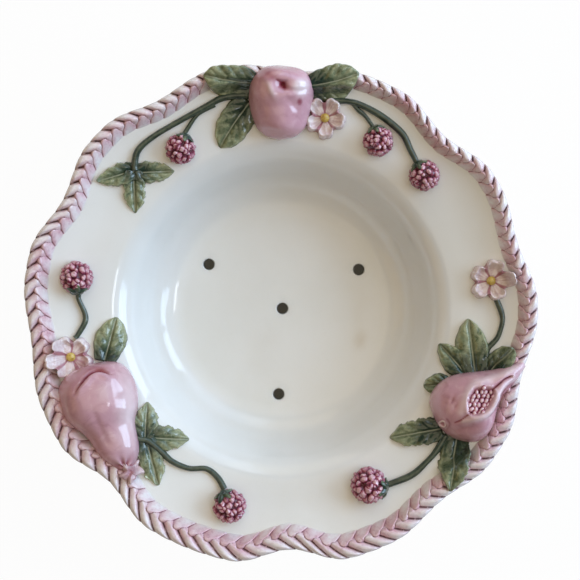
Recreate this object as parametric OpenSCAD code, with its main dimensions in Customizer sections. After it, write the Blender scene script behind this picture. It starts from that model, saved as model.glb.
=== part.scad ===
// Berry colander bowl: a footed bowl with a wide scalloped flange, drain holes in its floor,
// a three-strand plait round its edge and moulded fruit, leaves, stems and flowers on the flange.
// Millimetres. The origin is on the bowl's axis, in the plane that the foot ring stands on.
// +Z is up and +Y points to the apple.

/* [Bowl] */
// Radius of the widest lobe, to the outside of the plait
rim_r = 129; // [122:1:138]
// Radius of the well where its lip meets the flange
lip_r = 88; // [82:1:92]
// Height of the lip above the floor of the well
well_depth = 38.5; // [32:0.5:48]
// Thickness of the floor, the wall and the flange
wall_t = 5; // [4:0.25:6.5]
// Slope of the wall of the well, in degrees above level
wall_angle = 72; // [66:1:78]
// Radius of the hollow corner between the floor and the wall
floor_fillet = 20; // [14:0.5:24]
// Radius of the rounded lip
lip_round = 16; // [12:0.5:20]
// Slope of the flange, in degrees above level
flange_angle = 15; // [10:1:19]
// Height of the foot ring
foot_h = 6; // [4:0.5:10]
// Width of the foot ring
foot_w = 4.5; // [4:0.25:6]
// How far the foot ring stands outside the flat floor
foot_out = 5; // [3:0.25:6]
// Radius on the edges of the foot ring
foot_round = 1; // [0.5:0.1:1.5]
// Bore of each drain hole
drain_d = 6; // [4.5:0.25:8]
// Distance from the edge of the flat floor in to the ring of drain holes
drain_inset = 5.75; // [5:0.25:9]

/* [Scallops] */
// Depth of the deepest waist between two lobes
waist_depth = 9.2; // [4:0.2:12]
// Angle on each side of a waist in which the edge swells to its lobe, in degrees
waist_reach = 14; // [10:0.5:16]

/* [Plait] */
// Width of the plait where it is widest
plait_w = 13; // [11:0.25:14]
// How much narrower the plait is at its narrowest
plait_narrow = 4.6; // [2:0.2:5.4]
// Height of the plait above the flange
plait_h = 6.2; // [5:0.1:8]
// Length along the rim in which a strand crosses and comes back
plait_pitch = 23; // [20:0.5:27]
// How far the edge of the clay stands inside the outside of the plait
edge_inset = 0.8; // [0:0.1:2]

/* [Fruit] */
// Diameter of the apple
apple_d = 34.5; // [29:0.5:38]
// Length of the apple from its base to its shoulders
apple_h = 39; // [34:0.5:43]
// Depth of the dimple in the apple
apple_dimple = 5; // [2:0.25:6]
// Radius of the dimple in the apple
apple_dimple_r = 8; // [5:0.25:9]
// Lean of the apple away from the well, in degrees
apple_lean = 42; // [25:1:55]
// How deep the middle of the apple lies below the flange
apple_sink = 2; // [0:0.25:4]
// Diameter of the round end of the pear
pear_d = 41; // [35:0.5:45]
// Diameter of the pear at its neck
pear_neck_d = 20; // [16:0.5:23]
// Radius of the hollow sides between the round end and the neck
pear_throat = 40; // [30:1:60]
// How deep the middle of the pear lies below the flange
pear_sink = 2.5; // [0:0.25:4]
// Diameter of the pear's dried calyx
pear_calyx_d = 9; // [7:0.25:11]
// Length of the pomegranate
pome_l = 52; // [44:0.5:58]
// Diameter of the pomegranate
pome_d = 34.5; // [29:0.5:38]
// How deep the axis of the pomegranate lies below the flange at its round end
pome_sink = 2; // [0:0.25:4]
// Length of the split in the pomegranate
split_l = 29; // [23:0.5:33]
// Width of the split in the pomegranate
split_w = 12.5; // [9:0.25:15]
// Depth of the split in the pomegranate
split_depth = 6.5; // [4.5:0.25:8]
// Thickness of the lip round the split
split_lip = 1.6; // [1:0.1:2.5]
// Height of the lip round the split
split_rise = 1.2; // [0.6:0.1:2]
// Diameter of a pomegranate seed
seed_d = 4.2; // [3.4:0.1:5]
// Diameter of the pomegranate's crown
crown_d = 6; // [4:0.25:8]
// Thickness of the ring of the pomegranate's crown
crown_t = 1.8; // [1:0.1:2.5]

/* [Berries] */
// Diameter of the largest raspberry
berry_d = 18.5; // [15:0.25:20]
// Diameter of one drupelet of the largest raspberry
drupelet_d = 5.2; // [4:0.1:6]
// Thickness of a raspberry's green cap
cap_t = 1; // [0.6:0.1:1.5]

/* [Leaves and stems] */
// Width of the band of the flange in which the sprigs of fruit and leaves lie
band_w = 41; // [36:0.5:44]
// Width of the widest leaf
leaf_w = 19; // [15:0.5:22]
// Thickness of a leaf on each side of its midrib
leaf_t = 2.8; // [2:0.1:4]
// Diameter of a main stem
stem_d = 3.2; // [2.4:0.1:4]

/* [Flowers] */
// Diameter of the largest flower
flower_d = 22; // [18:0.5:25]
// Thickness of a petal
petal_t = 2.2; // [1.6:0.1:3]
// Diameter of a flower's centre
eye_d = 4.4; // [3.5:0.1:6]

/* [Hidden] */
$fn = 96;

// Where the edge has its waists, and how deep each is as a share of waist_depth
waist_angles = [16, 47, 85, 120, 153, 187, 225, 272, 310, 345];
waist_shares = [0.65, 1, 0.82, 0.76, 0.68, 0.33, 0.79, 0.98, 0.52, 0.49];
// How far the lobe after each waist stays short of rim_r, as a share of waist_depth
lobe_shares = [0.33, 0.43, 0.38, 0.16, 0, 0, 0.16, 0.08, 0, 0.11];

drain_angles = [27, 149, 267.5];

// Direction in which the plait is narrowest
narrow_angle = 65;
// Phases of one half turn of a strand at which it has a section
strand_phases = [30, 77, 113, 150];
// Bottom, crown and width of a strand there, as shares of the plait's height and width
strand_bottom_shares = [0.58, 0.12, 0, 0];
strand_crown_shares = [1, 0.9, 0.67, 0.31];
strand_width_shares = [0.336, 0.393, 0.393, 0.246];
// How far a strand swings to each side, as a share of the plait's width
swing_share = 0.303;
// Half widths of a section at its bottom, side and crown, and the height of its side, as shares
section_bottom_share = 0.18;
section_side_share = 0.5;
section_crown_share = 0.25;
section_side_height_share = 0.49;

// Places on the flange are [angle, share], where share runs from 0 to 1 across the band
apple_share = [90.1, 0.39];
pear_body_share = [206.5, 0.375];
pear_neck_share = [221.6, 0.49];
pear_calyx_share = [227.2, 0.58];
pome_base_share = [322, 0.25];
pome_tip_share = [346.4, 0.83];

// Leaves: angle and share of the base, angle and share of the tip, width as a share of leaf_w
apple_leaf_shares = [
    [96.5, 0.63, 108.4, 0.85, 0.84],
    [98.5, 0.46, 111, 0.02, 0.92],
    [82.7, 0.6, 71.8, 0.87, 0.87]];
sprig_leaf_shares = [
    [136.8, 0.37, 145.1, 0.62, 0.58],
    [136.1, 0.34, 127.6, 0.04, 0.57],
    [137.1, 0.33, 146.6, 0.04, 0.6]];
pear_leaf_shares = [
    [196.3, 0.15, 182.4, -0.08, 0.82],
    [223.8, 0.15, 214.3, -0.11, 0.63],
    [224.2, 0.13, 234.5, -0.15, 0.65],
    [224.5, 0.2, 235, 0.5, 0.67]];
pome_leaf_shares = [
    [341.3, 0.38, 357.4, 0.17, 0.84],
    [340.2, 0.32, 347.9, -0.13, 0.68],
    [336.6, 0.15, 331.7, -0.13, 0.6],
    [342.9, 0.51, 351, 0.7, 0.6],
    [323.7, 0.32, 310.1, -0.06, 0.76],
    [325.4, 0.49, 312.9, 0.84, 0.8]];
// Half width along a leaf, and height across it, as shares of its width and thickness
leaf_outline_shares = [0.16, 0.66, 0.98, 1, 0.8, 0.46, 0.07];
leaf_section_shares = [0.35, 1, 0.72, 1, 0.35];
leaf_end_share = 0.6;

// Stems: places along each, its diameter as a share of stem_d, and the berry that it ends on
stem_shares = [
    [[104.3, 0.56], [106.2, 0.56], [110, 0.53], [118.6, 0.5], [126.3, 0.51], [131.7, 0.5], [135.2, 0.41]],
    [[112, 0.49], [114.5, 0.45], [118.2, 0.36], [120.4, 0.31]],
    [[74.2, 0.53], [72.2, 0.55], [69.1, 0.56], [63, 0.54], [55.9, 0.49], [51.1, 0.39], [46.3, 0.31]],
    [[68.8, 0.49], [66.7, 0.46], [63.3, 0.38]],
    [[187.6, 0.42], [186.7, 0.38], [183.4, 0.29], [180.8, 0.29], [177.1, 0.36], [175.7, 0.37]],
    [[224.4, 0.17], [229.9, 0.16], [234.2, 0.17], [239.7, 0.13], [244.6, 0.04], [249, 0.08], [252.2, 0.18]],
    [[1.7, 0.52], [359.2, 0.56], [356.8, 0.57], [352.8, 0.53], [349.5, 0.44], [347.2, 0.44]],
    [[321.2, 0.41], [317.9, 0.43], [313.6, 0.44], [308.1, 0.44], [300.6, 0.37]]];
stem_width_shares = [1, 0.66, 1, 0.66, 0.85, 0.95, 0.85, 1];
stem_berries = [0, 1, 3, 2, 4, 5, 0, 6];
// Leaves that lie on each stem
stem_leaves = [
    [apple_leaf_shares[0], apple_leaf_shares[1]],
    [apple_leaf_shares[1]],
    [apple_leaf_shares[2]],
    [],
    [pear_leaf_shares[0]],
    [pear_leaf_shares[1], pear_leaf_shares[2], pear_leaf_shares[3]],
    [pome_leaf_shares[0], pome_leaf_shares[3]],
    [pome_leaf_shares[4], pome_leaf_shares[5]]];
stem_lift_share = 0.25;

// Berries: angle, share, diameter as a share of berry_d, and the way that the cap faces
berry_shares = [
    [122.1, 0.22, 0.86, 63],
    [60.2, 0.27, 0.86, 106],
    [43.3, 0.29, 0.86, 126],
    [170.9, 0.42, 0.92, 278],
    [255.1, 0.36, 0.93, 115],
    [296.5, 0.28, 1.02, 352]];
berry_lift_share = 0.16;
core_share = 0.86;
drupelet_heights = [90, 50, 12];
drupelet_counts = [1, 6, 11];
cap_tilt = 62;
cap_points = 5;
cap_tip_share = 0.4;
cap_notch_share = 0.16;

// Flowers: angle, share, diameter as a share of flower_d, and the turn of the first petal
flower_shares = [
    [77.3, 0.29, 0.96, 58],
    [8, 0.46, 0.98, 6],
    [192.5, 0.51, 1, 48]];
petal_count = 5;
petal_steps = 6;
petal_tip_share = 0.5;
petal_notch_share = 0.16;
petal_round_power = 3;
petal_height_shares = [0.6, 0.75, 1.3];
petal_groove_share = 0.45;
eye_lift_share = 0.45;

// Shapes of the fruit, as shares of their own sizes
apple_shoulder_share = 0.07;
apple_points = 20;
body_steps = 10;
throat_steps = 5;
neck_steps = 5;
pome_peak_share = 0.66;
pome_power_share = 0.86;
pome_points = 20;
pome_tip_end_share = 0.03;
split_middle_share = 0.49;
split_turn = 4;
// Place of the crown along the pomegranate, and its lean from the tip, in degrees
crown_share = 0.08;
crown_lean = 142;
seed_step_share = 0.82;
seed_floor_share = 0.3;
calyx_points = 6;
calyx_notch_share = 0.55;
calyx_h_share = 0.6;

// Clearance past a cut
over = 1;
arc_steps = 8;

floor_z = foot_h + wall_t;
lip_z = floor_z + well_depth;
fillet_run = floor_fillet * sin(wall_angle);
fillet_rise = floor_fillet * (1 - cos(wall_angle));
lip_run = lip_round * (sin(wall_angle) - sin(flange_angle));
lip_rise = lip_round * (cos(flange_angle) - cos(wall_angle));
wall_l = (well_depth - fillet_rise - lip_rise) / sin(wall_angle);
floor_r = lip_r - fillet_run - lip_run - wall_l * cos(wall_angle);
far_r = rim_r + wall_t;
foot_r = floor_r + foot_out;
drain_ring_r = floor_r - drain_inset;
plait_lead = plait_w / 2;
plait_ramp = plait_w / 5;
turns = round(2 * PI * (rim_r - waist_depth / 3 - plait_w / 2) / plait_pitch);

// Upper surface of the bowl as [radius, height] points, from the axis out past the edge.
// depth is how far below the surface the line runs, square to it.
function surface_line(depth) = concat(
    [[0, floor_z - depth]],
    [for (i = [0:arc_steps]) let (a = wall_angle * i / arc_steps)
        [floor_r + (floor_fillet + depth) * sin(a),
         floor_z + floor_fillet - (floor_fillet + depth) * cos(a)]],
    [for (i = [0:arc_steps]) let (a = wall_angle - (wall_angle - flange_angle) * i / arc_steps)
        [lip_r + lip_round * sin(flange_angle) - (lip_round - depth) * sin(a),
         lip_z - lip_round * cos(flange_angle) + (lip_round - depth) * cos(a)]],
    [[far_r, flange_z(far_r) - depth / cos(flange_angle)]]);

function flange_z(r) = lip_z + (r - lip_r) * tan(flange_angle);
surface_points = surface_line(0);
function surface_z(r) = lookup(r, surface_points);

// Radius of the scalloped edge at an angle
function swell(gap) = gap >= waist_reach ? 1 : (1 - cos(180 * gap / waist_reach)) / 2;
function whole_turn(a) = a - 360 * floor(a / 360);
function edge_dip(a) =
    let (count = len(waist_angles),
         passed = len([for (w = waist_angles) if (w <= a) w]),
         i = passed == 0 ? count - 1 : passed - 1,
         j = (i + 1) % count,
         since = whole_turn(a - waist_angles[i]),
         until = whole_turn(waist_angles[j] - a))
    lobe_shares[i]
        + (waist_shares[i] - lobe_shares[i]) * (1 - swell(since))
        + (waist_shares[j] - lobe_shares[i]) * (1 - swell(until));
edge_points = [for (a = [0:2:360]) [a, rim_r - waist_depth * edge_dip(whole_turn(a))]];
function edge_r(a) = lookup(whole_turn(a), edge_points);

function plait_width(a) = plait_w - plait_narrow * (1 + cos(a - narrow_angle)) / 2;
function plait_middle_r(a) = edge_r(a) - plait_width(a) / 2;
function plait_inner_r(a) = edge_r(a) - plait_width(a);

// Height on which a piece rests: the flange, or the crowns of the plait where it lies over them
function ease(x) = x <= 0 ? 0 : x >= 1 ? 1 : x * x * (3 - 2 * x);
function rest_z(p) = let (r = norm(p), a = atan2(p.y, p.x))
    surface_z(r) + plait_h * ease((r - plait_inner_r(a) + plait_lead) / plait_ramp);

function flange_r(share) = (lip_r + rim_r) / 2 + (share - 0.5) * band_w;
function spot(place) = flange_r(place[1]) * [cos(place[0]), sin(place[0])];
function raised(p, lift) = [p.x, p.y, rest_z(p) + lift];

// The clay of the flange between two angles, with the lip and the wall too if low_r is inside them
module ground(from, to, low_r) {
    wall_foot = surface_points[arc_steps + 1];
    rotate([0, 0, from]) rotate_extrude(angle = to - from, $fn = 360) polygon(low_r < lip_r + over
        ? concat(
            [[wall_foot.x, 0]],
            [for (i = [arc_steps + 1:len(surface_points) - 1]) surface_points[i]],
            [[far_r, 0]])
        : [[lip_r, 0], [lip_r, lip_z], [far_r, flange_z(far_r)], [far_r, 0]]);
}

// The space that the plait takes between two angles, up to its crowns
module plait_space(from, to) {
    steps = ceil((to - from) / 3);
    angles = [for (i = [0:steps]) from + (to - from) * i / steps];
    intersection() {
        linear_extrude(height = 2 * lip_z) polygon(concat(
            [for (a = [from, (from + to) / 2, to]) 2 * rim_r * [cos(a), sin(a)]],
            [for (i = [steps:-1:0]) plait_inner_r(angles[i]) * [cos(angles[i]), sin(angles[i])]]));
        rotate([0, 0, from]) rotate_extrude(angle = to - from, $fn = 360) polygon([
            [lip_r, 0],
            [lip_r, flange_z(lip_r) + plait_h],
            [far_r, flange_z(far_r) + plait_h],
            [far_r, 0]]);
    }
}

// Cuts a piece that reaches from low_r to high_r to what it is pressed on to
module pressed_on(from, to, low_r, high_r) {
    difference() {
        children();
        ground(from, to, low_r);
        if (high_r > rim_r - waist_depth - plait_w) plait_space(from, to);
    }
}

// Half the angle that a length takes up at the lip, with room to spare
function reach(length) = 2 * asin(length / 2 / lip_r) + 3;

// Stands its children at a place, with +X up the flange and +Z square to it
module on_flange(place, lift) {
    p = raised(spot(place), 0);
    translate(p) rotate([0, 0, place[0]]) rotate([0, -flange_angle, 0]) translate([0, 0, lift]) children();
}

// Stands its children on p with +Z towards q
module along(p, q) {
    d = q - p;
    translate(p) rotate([0, acos(d.z / norm(d)), atan2(d.y, d.x)]) children();
}

module bowl_body() {
    outline = [for (a = [0:2:358]) (edge_r(a) - edge_inset) * [cos(a), sin(a)]];
    under = surface_line(wall_t);
    color("ivory") difference() {
        union() {
            intersection() {
                rotate_extrude($fn = 360) polygon(concat(
                    surface_points, [for (i = [len(under) - 1:-1:0]) under[i]]));
                linear_extrude(height = 2 * lip_z) polygon(outline);
            }
            foot_ring();
        }
        translate([0, 0, -over]) cylinder(h = floor_z + 2 * over, d = drain_d);
        for (a = drain_angles)
            rotate([0, 0, a]) translate([drain_ring_r, 0, -over])
                cylinder(h = floor_z + 2 * over, d = drain_d);
    }
}

module foot_ring() {
    in_r = foot_r - foot_w;
    top = foot_h + wall_t / 2;
    rotate_extrude() polygon(concat(
        [[in_r, top]],
        [for (a = [180:15:270]) [in_r + foot_round * (1 + cos(a)), foot_round * (1 + sin(a))]],
        [for (a = [270:15:360]) [foot_r - foot_round * (1 - cos(a)), foot_round * (1 + sin(a))]],
        [[foot_r, top]]));
}

// Middle of a strand, seen from above, at a phase of its swing
function strand_middle(strand, phase) =
    let (a = (phase - 120 * strand) / turns,
         r = plait_middle_r(a) + swing_share * plait_width(a) * sin(phase))
    r * [cos(a), sin(a)];

function strand_section(strand, i) =
    let (step = len(strand_phases),
         j = i % step,
         phase = 180 * floor(i / step) + strand_phases[j],
         width = strand_width_shares[j] * plait_width((phase - 120 * strand) / turns),
         ahead = strand_middle(strand, phase + 1) - strand_middle(strand, phase - 1),
         out = [ahead.y, -ahead.x] / norm(ahead),
         low = strand_bottom_shares[j],
         high = strand_crown_shares[j],
         side = low + (high - low) * section_side_height_share,
         outline = [
            [-section_bottom_share, low], [section_bottom_share, low],
            [section_side_share, side], [section_crown_share, high],
            [-section_crown_share, high], [-section_side_share, side]])
    [for (q = outline) let (p = strand_middle(strand, phase) + out * q[0] * width)
        [p.x, p.y, surface_z(norm(p)) + q[1] * plait_h]];

// One strand of the plait, a closed loop that swings across and goes over and under the others
module plait_strand(strand) {
    count = 2 * turns * len(strand_phases);
    sides = 6;
    color("palevioletred") polyhedron(
        points = [for (i = [0:count - 1]) each strand_section(strand, i)],
        faces = [for (i = [0:count - 1], j = [0:sides - 1], half = [0, 1])
            let (a = i * sides + j,
                 b = i * sides + (j + 1) % sides,
                 c = ((i + 1) % count) * sides + (j + 1) % sides,
                 d = ((i + 1) % count) * sides + j)
            half == 0 ? [a, b, c] : [a, c, d]]);
}

// A closed sheet: a grid of points for its upper side, and one for its under side
module sheet(upper, under) {
    rows = len(upper);
    cols = len(upper[0]);
    count = rows * cols;
    border = concat(
        [for (j = [0:cols - 1]) j],
        [for (i = [1:rows - 1]) i * cols + cols - 1],
        [for (j = [cols - 2:-1:0]) (rows - 1) * cols + j],
        [for (i = [rows - 2:-1:1]) i * cols]);
    polyhedron(
        points = concat([for (row = upper) each row], [for (row = under) each row]),
        faces = concat(
            [for (i = [0:rows - 2], j = [0:cols - 2], half = [0, 1])
                let (a = i * cols + j, b = a + 1, c = b + cols, d = a + cols)
                half == 0 ? [a, b, c] : [a, c, d]],
            [for (i = [0:rows - 2], j = [0:cols - 2], half = [0, 1])
                let (a = count + i * cols + j, b = a + 1, c = b + cols, d = a + cols)
                half == 0 ? [a, c, b] : [a, d, c]],
            [for (i = [0:len(border) - 1], half = [0, 1])
                let (a = border[i], b = border[(i + 1) % len(border)])
                half == 0 ? [a, b + count, b] : [a, a + count, b + count]]));
}

// A leaf with a grooved midrib, lying on what is under it
module leaf_form(shares) {
    base = spot([shares[0], shares[1]]);
    tip = spot([shares[2], shares[3]]);
    way = (tip - base) / norm(tip - base);
    across = [-way.y, way.x];
    rows = len(leaf_outline_shares);
    cols = len(leaf_section_shares);
    half_w = leaf_w * shares[4] / 2;
    function place(i, j) = base + (tip - base) * i / (rows - 1)
        + across * half_w * leaf_outline_shares[i] * (2 * j / (cols - 1) - 1);
    function swelling(i) = leaf_end_share + (1 - leaf_end_share) * sin(180 * i / (rows - 1));
    sheet(
        [for (i = [0:rows - 1]) [for (j = [0:cols - 1])
            raised(place(i, j), leaf_t * leaf_section_shares[j] * swelling(i))]],
        [for (i = [0:rows - 1]) [for (j = [0:cols - 1]) raised(place(i, j), -leaf_t)]]);
}

// Leaf k of a group, cut where an earlier leaf of the group or its fruit lies on it
module group_leaf(table, k) {
    angles = [table[k][0], table[k][2]];
    radii = [flange_r(table[k][1]), flange_r(table[k][3])];
    color("olivedrab") difference() {
        pressed_on(min(angles) - reach(leaf_w / 2), max(angles) + reach(leaf_w / 2),
            min(radii) - leaf_t, max(radii)) leaf_form(table[k]);
        for (i = [0:1:k - 1]) leaf_form(table[i]);
        children();
    }
}

module apple_form() {
    profile = [for (i = [0:apple_points])
        let (a = -90 + 180 * i / apple_points,
             r = apple_d / 2 * cos(a) * (1 + apple_shoulder_share * sin(a)),
             dent = a > 0 ? apple_dimple * (1 - ease(r / apple_dimple_r)) : 0)
        [i == 0 || i == apple_points ? 0 : r, apple_h / 2 * sin(a) - dent]];
    on_flange(apple_share, -apple_sink) rotate([0, apple_lean, 0]) rotate_extrude() polygon(profile);
}

module apple() {
    side = reach(apple_d / 2);
    r = flange_r(apple_share[1]);
    color("rosybrown") pressed_on(apple_share[0] - side, apple_share[0] + side, r - apple_h / 2, rim_r)
        apple_form();
}

pear_body = raised(spot(pear_body_share), -pear_sink);
pear_neck = raised(spot(pear_neck_share), 0);

// Round end and neck joined by a hollow arc that touches both
module pear_form() {
    body_r = pear_d / 2;
    neck_r = pear_neck_d / 2;
    gap = norm(pear_neck - pear_body);
    throat_z = (gap * gap + pow(body_r + pear_throat, 2) - pow(neck_r + pear_throat, 2)) / (2 * gap);
    throat_r = sqrt(pow(body_r + pear_throat, 2) - throat_z * throat_z);
    leave = atan2(throat_r, throat_z);
    meet = atan2(throat_r, throat_z - gap);
    body_line = [for (i = [0:body_steps]) let (a = 180 - (180 - leave) * i / body_steps)
        [i == 0 ? 0 : body_r * sin(a), body_r * cos(a)]];
    throat_line = [for (i = [1:throat_steps - 1]) let (a = leave + (meet - leave) * i / throat_steps)
        [throat_r - pear_throat * sin(a), throat_z - pear_throat * cos(a)]];
    neck_line = [for (i = [0:neck_steps]) let (a = meet - meet * i / neck_steps)
        [i == neck_steps ? 0 : neck_r * sin(a), gap + neck_r * cos(a)]];
    along(pear_body, pear_neck) rotate_extrude()
        polygon(concat(body_line, throat_line, neck_line));
}

module pear() {
    color("palevioletred") pressed_on(
        pear_body_share[0] - reach(pear_d / 2), pear_neck_share[0] + reach(pear_neck_d),
        flange_r(pear_body_share[1]) - pear_d / 2, rim_r) pear_form();
}

module pear_calyx() {
    side = reach(pear_calyx_d);
    color("pink") difference() {
        pressed_on(pear_calyx_share[0] - side, pear_calyx_share[0] + side, rim_r, rim_r)
            translate(raised(spot(pear_calyx_share), -over))
                linear_extrude(height = pear_calyx_d * calyx_h_share)
                    star(pear_calyx_d / 2, pear_calyx_d / 2 * calyx_notch_share, calyx_points);
        pear_form();
    }
}

module star(tip_r, notch_r, points) {
    polygon([for (i = [0:2 * points - 1]) let (r = i % 2 == 0 ? tip_r : notch_r, a = 180 * i / points)
        r * [cos(a), sin(a)]]);
}

pome_base = raised(spot(pome_base_share), -pome_sink);
pome_tip = raised(spot(pome_tip_share), 0);

// Radius of the pomegranate at a share of its length, as a share of its greatest radius
function pome_share(s) = pow(max(0, sin(180 * pow(s, pome_peak_share))), pome_power_share);

// Body of the pomegranate, grown by a margin all round
module pome_form(margin) {
    profile = [for (i = [0:pome_points]) let (s = i / pome_points)
        [i == 0 ? 0 : max(pome_d * pome_tip_end_share, (pome_d / 2 + margin) * pome_share(s)),
         pome_l * s]];
    along(pome_base, pome_tip) rotate_extrude() polygon(concat(profile, [[0, pome_l]]));
}

// Upright lens shape as long as the split and grown by a margin
module split_space(margin, low) {
    l = split_l + 2 * margin;
    w = split_w + 2 * margin;
    r = (l * l + w * w) / (4 * w);
    middle = pome_base + (pome_tip - pome_base) * split_middle_share;
    way = pome_tip - pome_base;
    translate([middle.x, middle.y, low]) rotate([0, 0, atan2(way.y, way.x) + split_turn])
        intersection() {
            translate([0, r - w / 2, 0]) cylinder(h = pome_d, r = r);
            translate([0, w / 2 - r, 0]) cylinder(h = pome_d, r = r);
        }
}

split_floor = (pome_base.z + pome_tip.z) / 2 + pome_d / 2 - split_depth;

module pomegranate() {
    color("palevioletred") pressed_on(
        pome_base_share[0] - reach(pome_d / 2), pome_tip_share[0] + reach(pome_d / 2),
        flange_r(pome_base_share[1]) - pome_d / 2, rim_r) difference() {
        union() {
            pome_form(0);
            intersection() {
                pome_form(split_rise);
                split_space(split_lip, split_floor - over);
            }
        }
        split_space(0, split_floor);
    }
}

module pomegranate_seeds() {
    step = seed_d * seed_step_share;
    along_count = floor(split_l / step / 2) - 1;
    across_count = floor(split_w / step / 2);
    middle = pome_base + (pome_tip - pome_base) * split_middle_share;
    way = pome_tip - pome_base;
    color("crimson") intersection() {
        translate([middle.x, middle.y, split_floor + seed_d * seed_floor_share])
            rotate([0, 0, atan2(way.y, way.x) + split_turn])
                for (i = [-along_count:along_count], j = [-across_count:across_count])
                    translate([i * step, j * step + (i % 2) * step / 4, 0]) sphere(d = seed_d, $fn = 32);
        split_space(0, split_floor);
    }
}

module pomegranate_crown() {
    color("pink") difference() {
        along(pome_base, pome_tip)
            translate([-pome_d / 2 * pome_share(crown_share), 0, pome_l * crown_share])
                rotate([0, -crown_lean, 0]) rotate_extrude()
                    translate([(crown_d - crown_t) / 2, 0]) circle(d = crown_t, $fn = 24);
        pome_form(0);
    }
}

// Places along a stem, with one more between each two that rounds the bend
function between(a, b, c, d) = (9 * (b + c) - a - d) / 16;
function rounded(path) = let (n = len(path)) concat(
    [for (i = [0:n - 2]) each [path[i],
        between(path[max(0, i - 1)], path[i], path[i + 1], path[min(n - 1, i + 2)])]],
    [path[n - 1]]);

module stem(k) {
    path = rounded([for (place = stem_shares[k]) spot(place)]);
    r = stem_d * stem_width_shares[k] / 2;
    last = len(path) - 1;
    sides = 6;
    rings = [for (i = [0:last])
        let (way = path[min(last, i + 1)] - path[max(0, i - 1)],
             across = [way.y, -way.x] / norm(way),
             middle = raised(path[i], r * 2 * stem_lift_share))
        for (j = [0:sides - 1]) let (a = 360 * (j + 0.5) / sides)
            middle + [across.x * r * cos(a), across.y * r * cos(a), r * sin(a)]];
    angles = [for (place = stem_shares[k]) place[0]];
    radii = [for (place = stem_shares[k]) flange_r(place[1])];
    color("darkslategray") difference() {
        pressed_on(min(angles) - reach(stem_d), max(angles) + reach(stem_d),
            min(radii) - stem_d / 2, lip_r) polyhedron(points = rings, faces = concat(
            [[for (j = [sides - 1:-1:0]) j]],
            [[for (j = [0:sides - 1]) last * sides + j]],
            [for (i = [0:last - 1], j = [0:sides - 1], half = [0, 1])
                let (a = i * sides + j, b = i * sides + (j + 1) % sides, c = b + sides, d = a + sides)
                half == 0 ? [a, b, c] : [a, c, d]]));
        for (shares = stem_leaves[k]) leaf_form(shares);
        if (stem_berries[k] > 0) at_berry(stem_berries[k] - 1)
            sphere(d = berry_shares[stem_berries[k] - 1][2] * berry_d + 2 * cap_t);
    }
}

module at_berry(k) {
    d = berry_d * berry_shares[k][2];
    on_flange([berry_shares[k][0], berry_shares[k][1]], d * berry_lift_share) children();
}

module berry_pressed(k) {
    angle = berry_shares[k][0];
    pressed_on(angle - reach(berry_d / 2), angle + reach(berry_d / 2),
        flange_r(berry_shares[k][1]) - berry_d * berry_shares[k][2] / 2, lip_r) children();
}

module berry(k) {
    share = berry_shares[k][2];
    d = berry_d * share;
    small = drupelet_d * share;
    color("mediumvioletred") berry_pressed(k) at_berry(k) {
        sphere(d = d * core_share, $fn = 48);
        for (row = [0:len(drupelet_heights) - 1], i = [0:drupelet_counts[row] - 1])
            rotate([0, 90 - drupelet_heights[row], 360 * (i + row / 2) / drupelet_counts[row]])
                translate([0, 0, (d - small) / 2]) sphere(d = small, $fn = 24);
    }
}

// Green cap with pointed sepals, where the stem meets the berry
module berry_cap(k) {
    d = berry_d * berry_shares[k][2];
    turn = berry_shares[k][3] - berry_shares[k][0];
    color("olivedrab") berry_pressed(k) at_berry(k) rotate([0, cap_tilt, turn]) difference() {
        intersection() {
            sphere(d = d + 2 * cap_t);
            linear_extrude(height = d) star(d * cap_tip_share, d * cap_notch_share, cap_points);
        }
        sphere(d = d);
    }
}

// Radius of a flower's edge at an angle from the middle of a petal, as a share of its diameter
function petal_edge_share(a) = petal_tip_share
    - petal_notch_share * pow(abs(sin(petal_count * a / 2)), petal_round_power);

// A ring of petals round a hole for the centre, cupped and parted by notches
module flower(k) {
    shares = flower_shares[k];
    centre = spot([shares[0], shares[1]]);
    d = flower_d * shares[2];
    rings = len(petal_height_shares);
    side = reach(flower_d / 2);
    count = petal_count * petal_steps;
    function edge(i) = d * petal_edge_share(360 * i / count);
    function parting(i) = 1 - petal_groove_share * pow(abs(sin(180 * i / petal_steps)), 4);
    function place(i, j) = let (a = shares[3] + 360 * i / count)
        centre + (eye_d / 2 + (edge(i) - eye_d / 2) * j / (rings - 1)) * [cos(a), sin(a)];
    color("pink") difference() {
        pressed_on(shares[0] - side, shares[0] + side,
            flange_r(shares[1]) - d / 2, flange_r(shares[1]) + d / 2)
            ring_sheet(
                [for (i = [0:count - 1]) [for (j = [0:rings - 1])
                    raised(place(i, j), petal_t * petal_height_shares[j] * (j == 0 ? 1 : parting(i)))]],
                [for (i = [0:count - 1]) [for (j = [0:rings - 1]) raised(place(i, j), -petal_t)]]);
        children();
    }
}

// As sheet, for a grid whose last row joins its first
module ring_sheet(upper, under) {
    rows = len(upper);
    cols = len(upper[0]);
    count = rows * cols;
    polyhedron(
        points = concat([for (row = upper) each row], [for (row = under) each row]),
        faces = [for (i = [0:rows - 1]) let (k = (i + 1) % rows) each concat(
            [for (j = [0:cols - 2], half = [0, 1])
                let (a = i * cols + j, b = a + 1, d = k * cols + j, c = d + 1)
                half == 0 ? [a, c, b] : [a, d, c]],
            [for (j = [0:cols - 2], half = [0, 1])
                let (a = count + i * cols + j, b = a + 1, d = count + k * cols + j, c = d + 1)
                half == 0 ? [a, b, c] : [a, c, d]],
            [for (j = [0, cols - 1], half = [0, 1])
                let (a = i * cols + j, b = k * cols + j, flip = j == 0)
                half == 0
                    ? (flip ? [a, b + count, b] : [a, b, b + count])
                    : (flip ? [a, a + count, b + count] : [a, b + count, a + count])])]);
}

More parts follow.
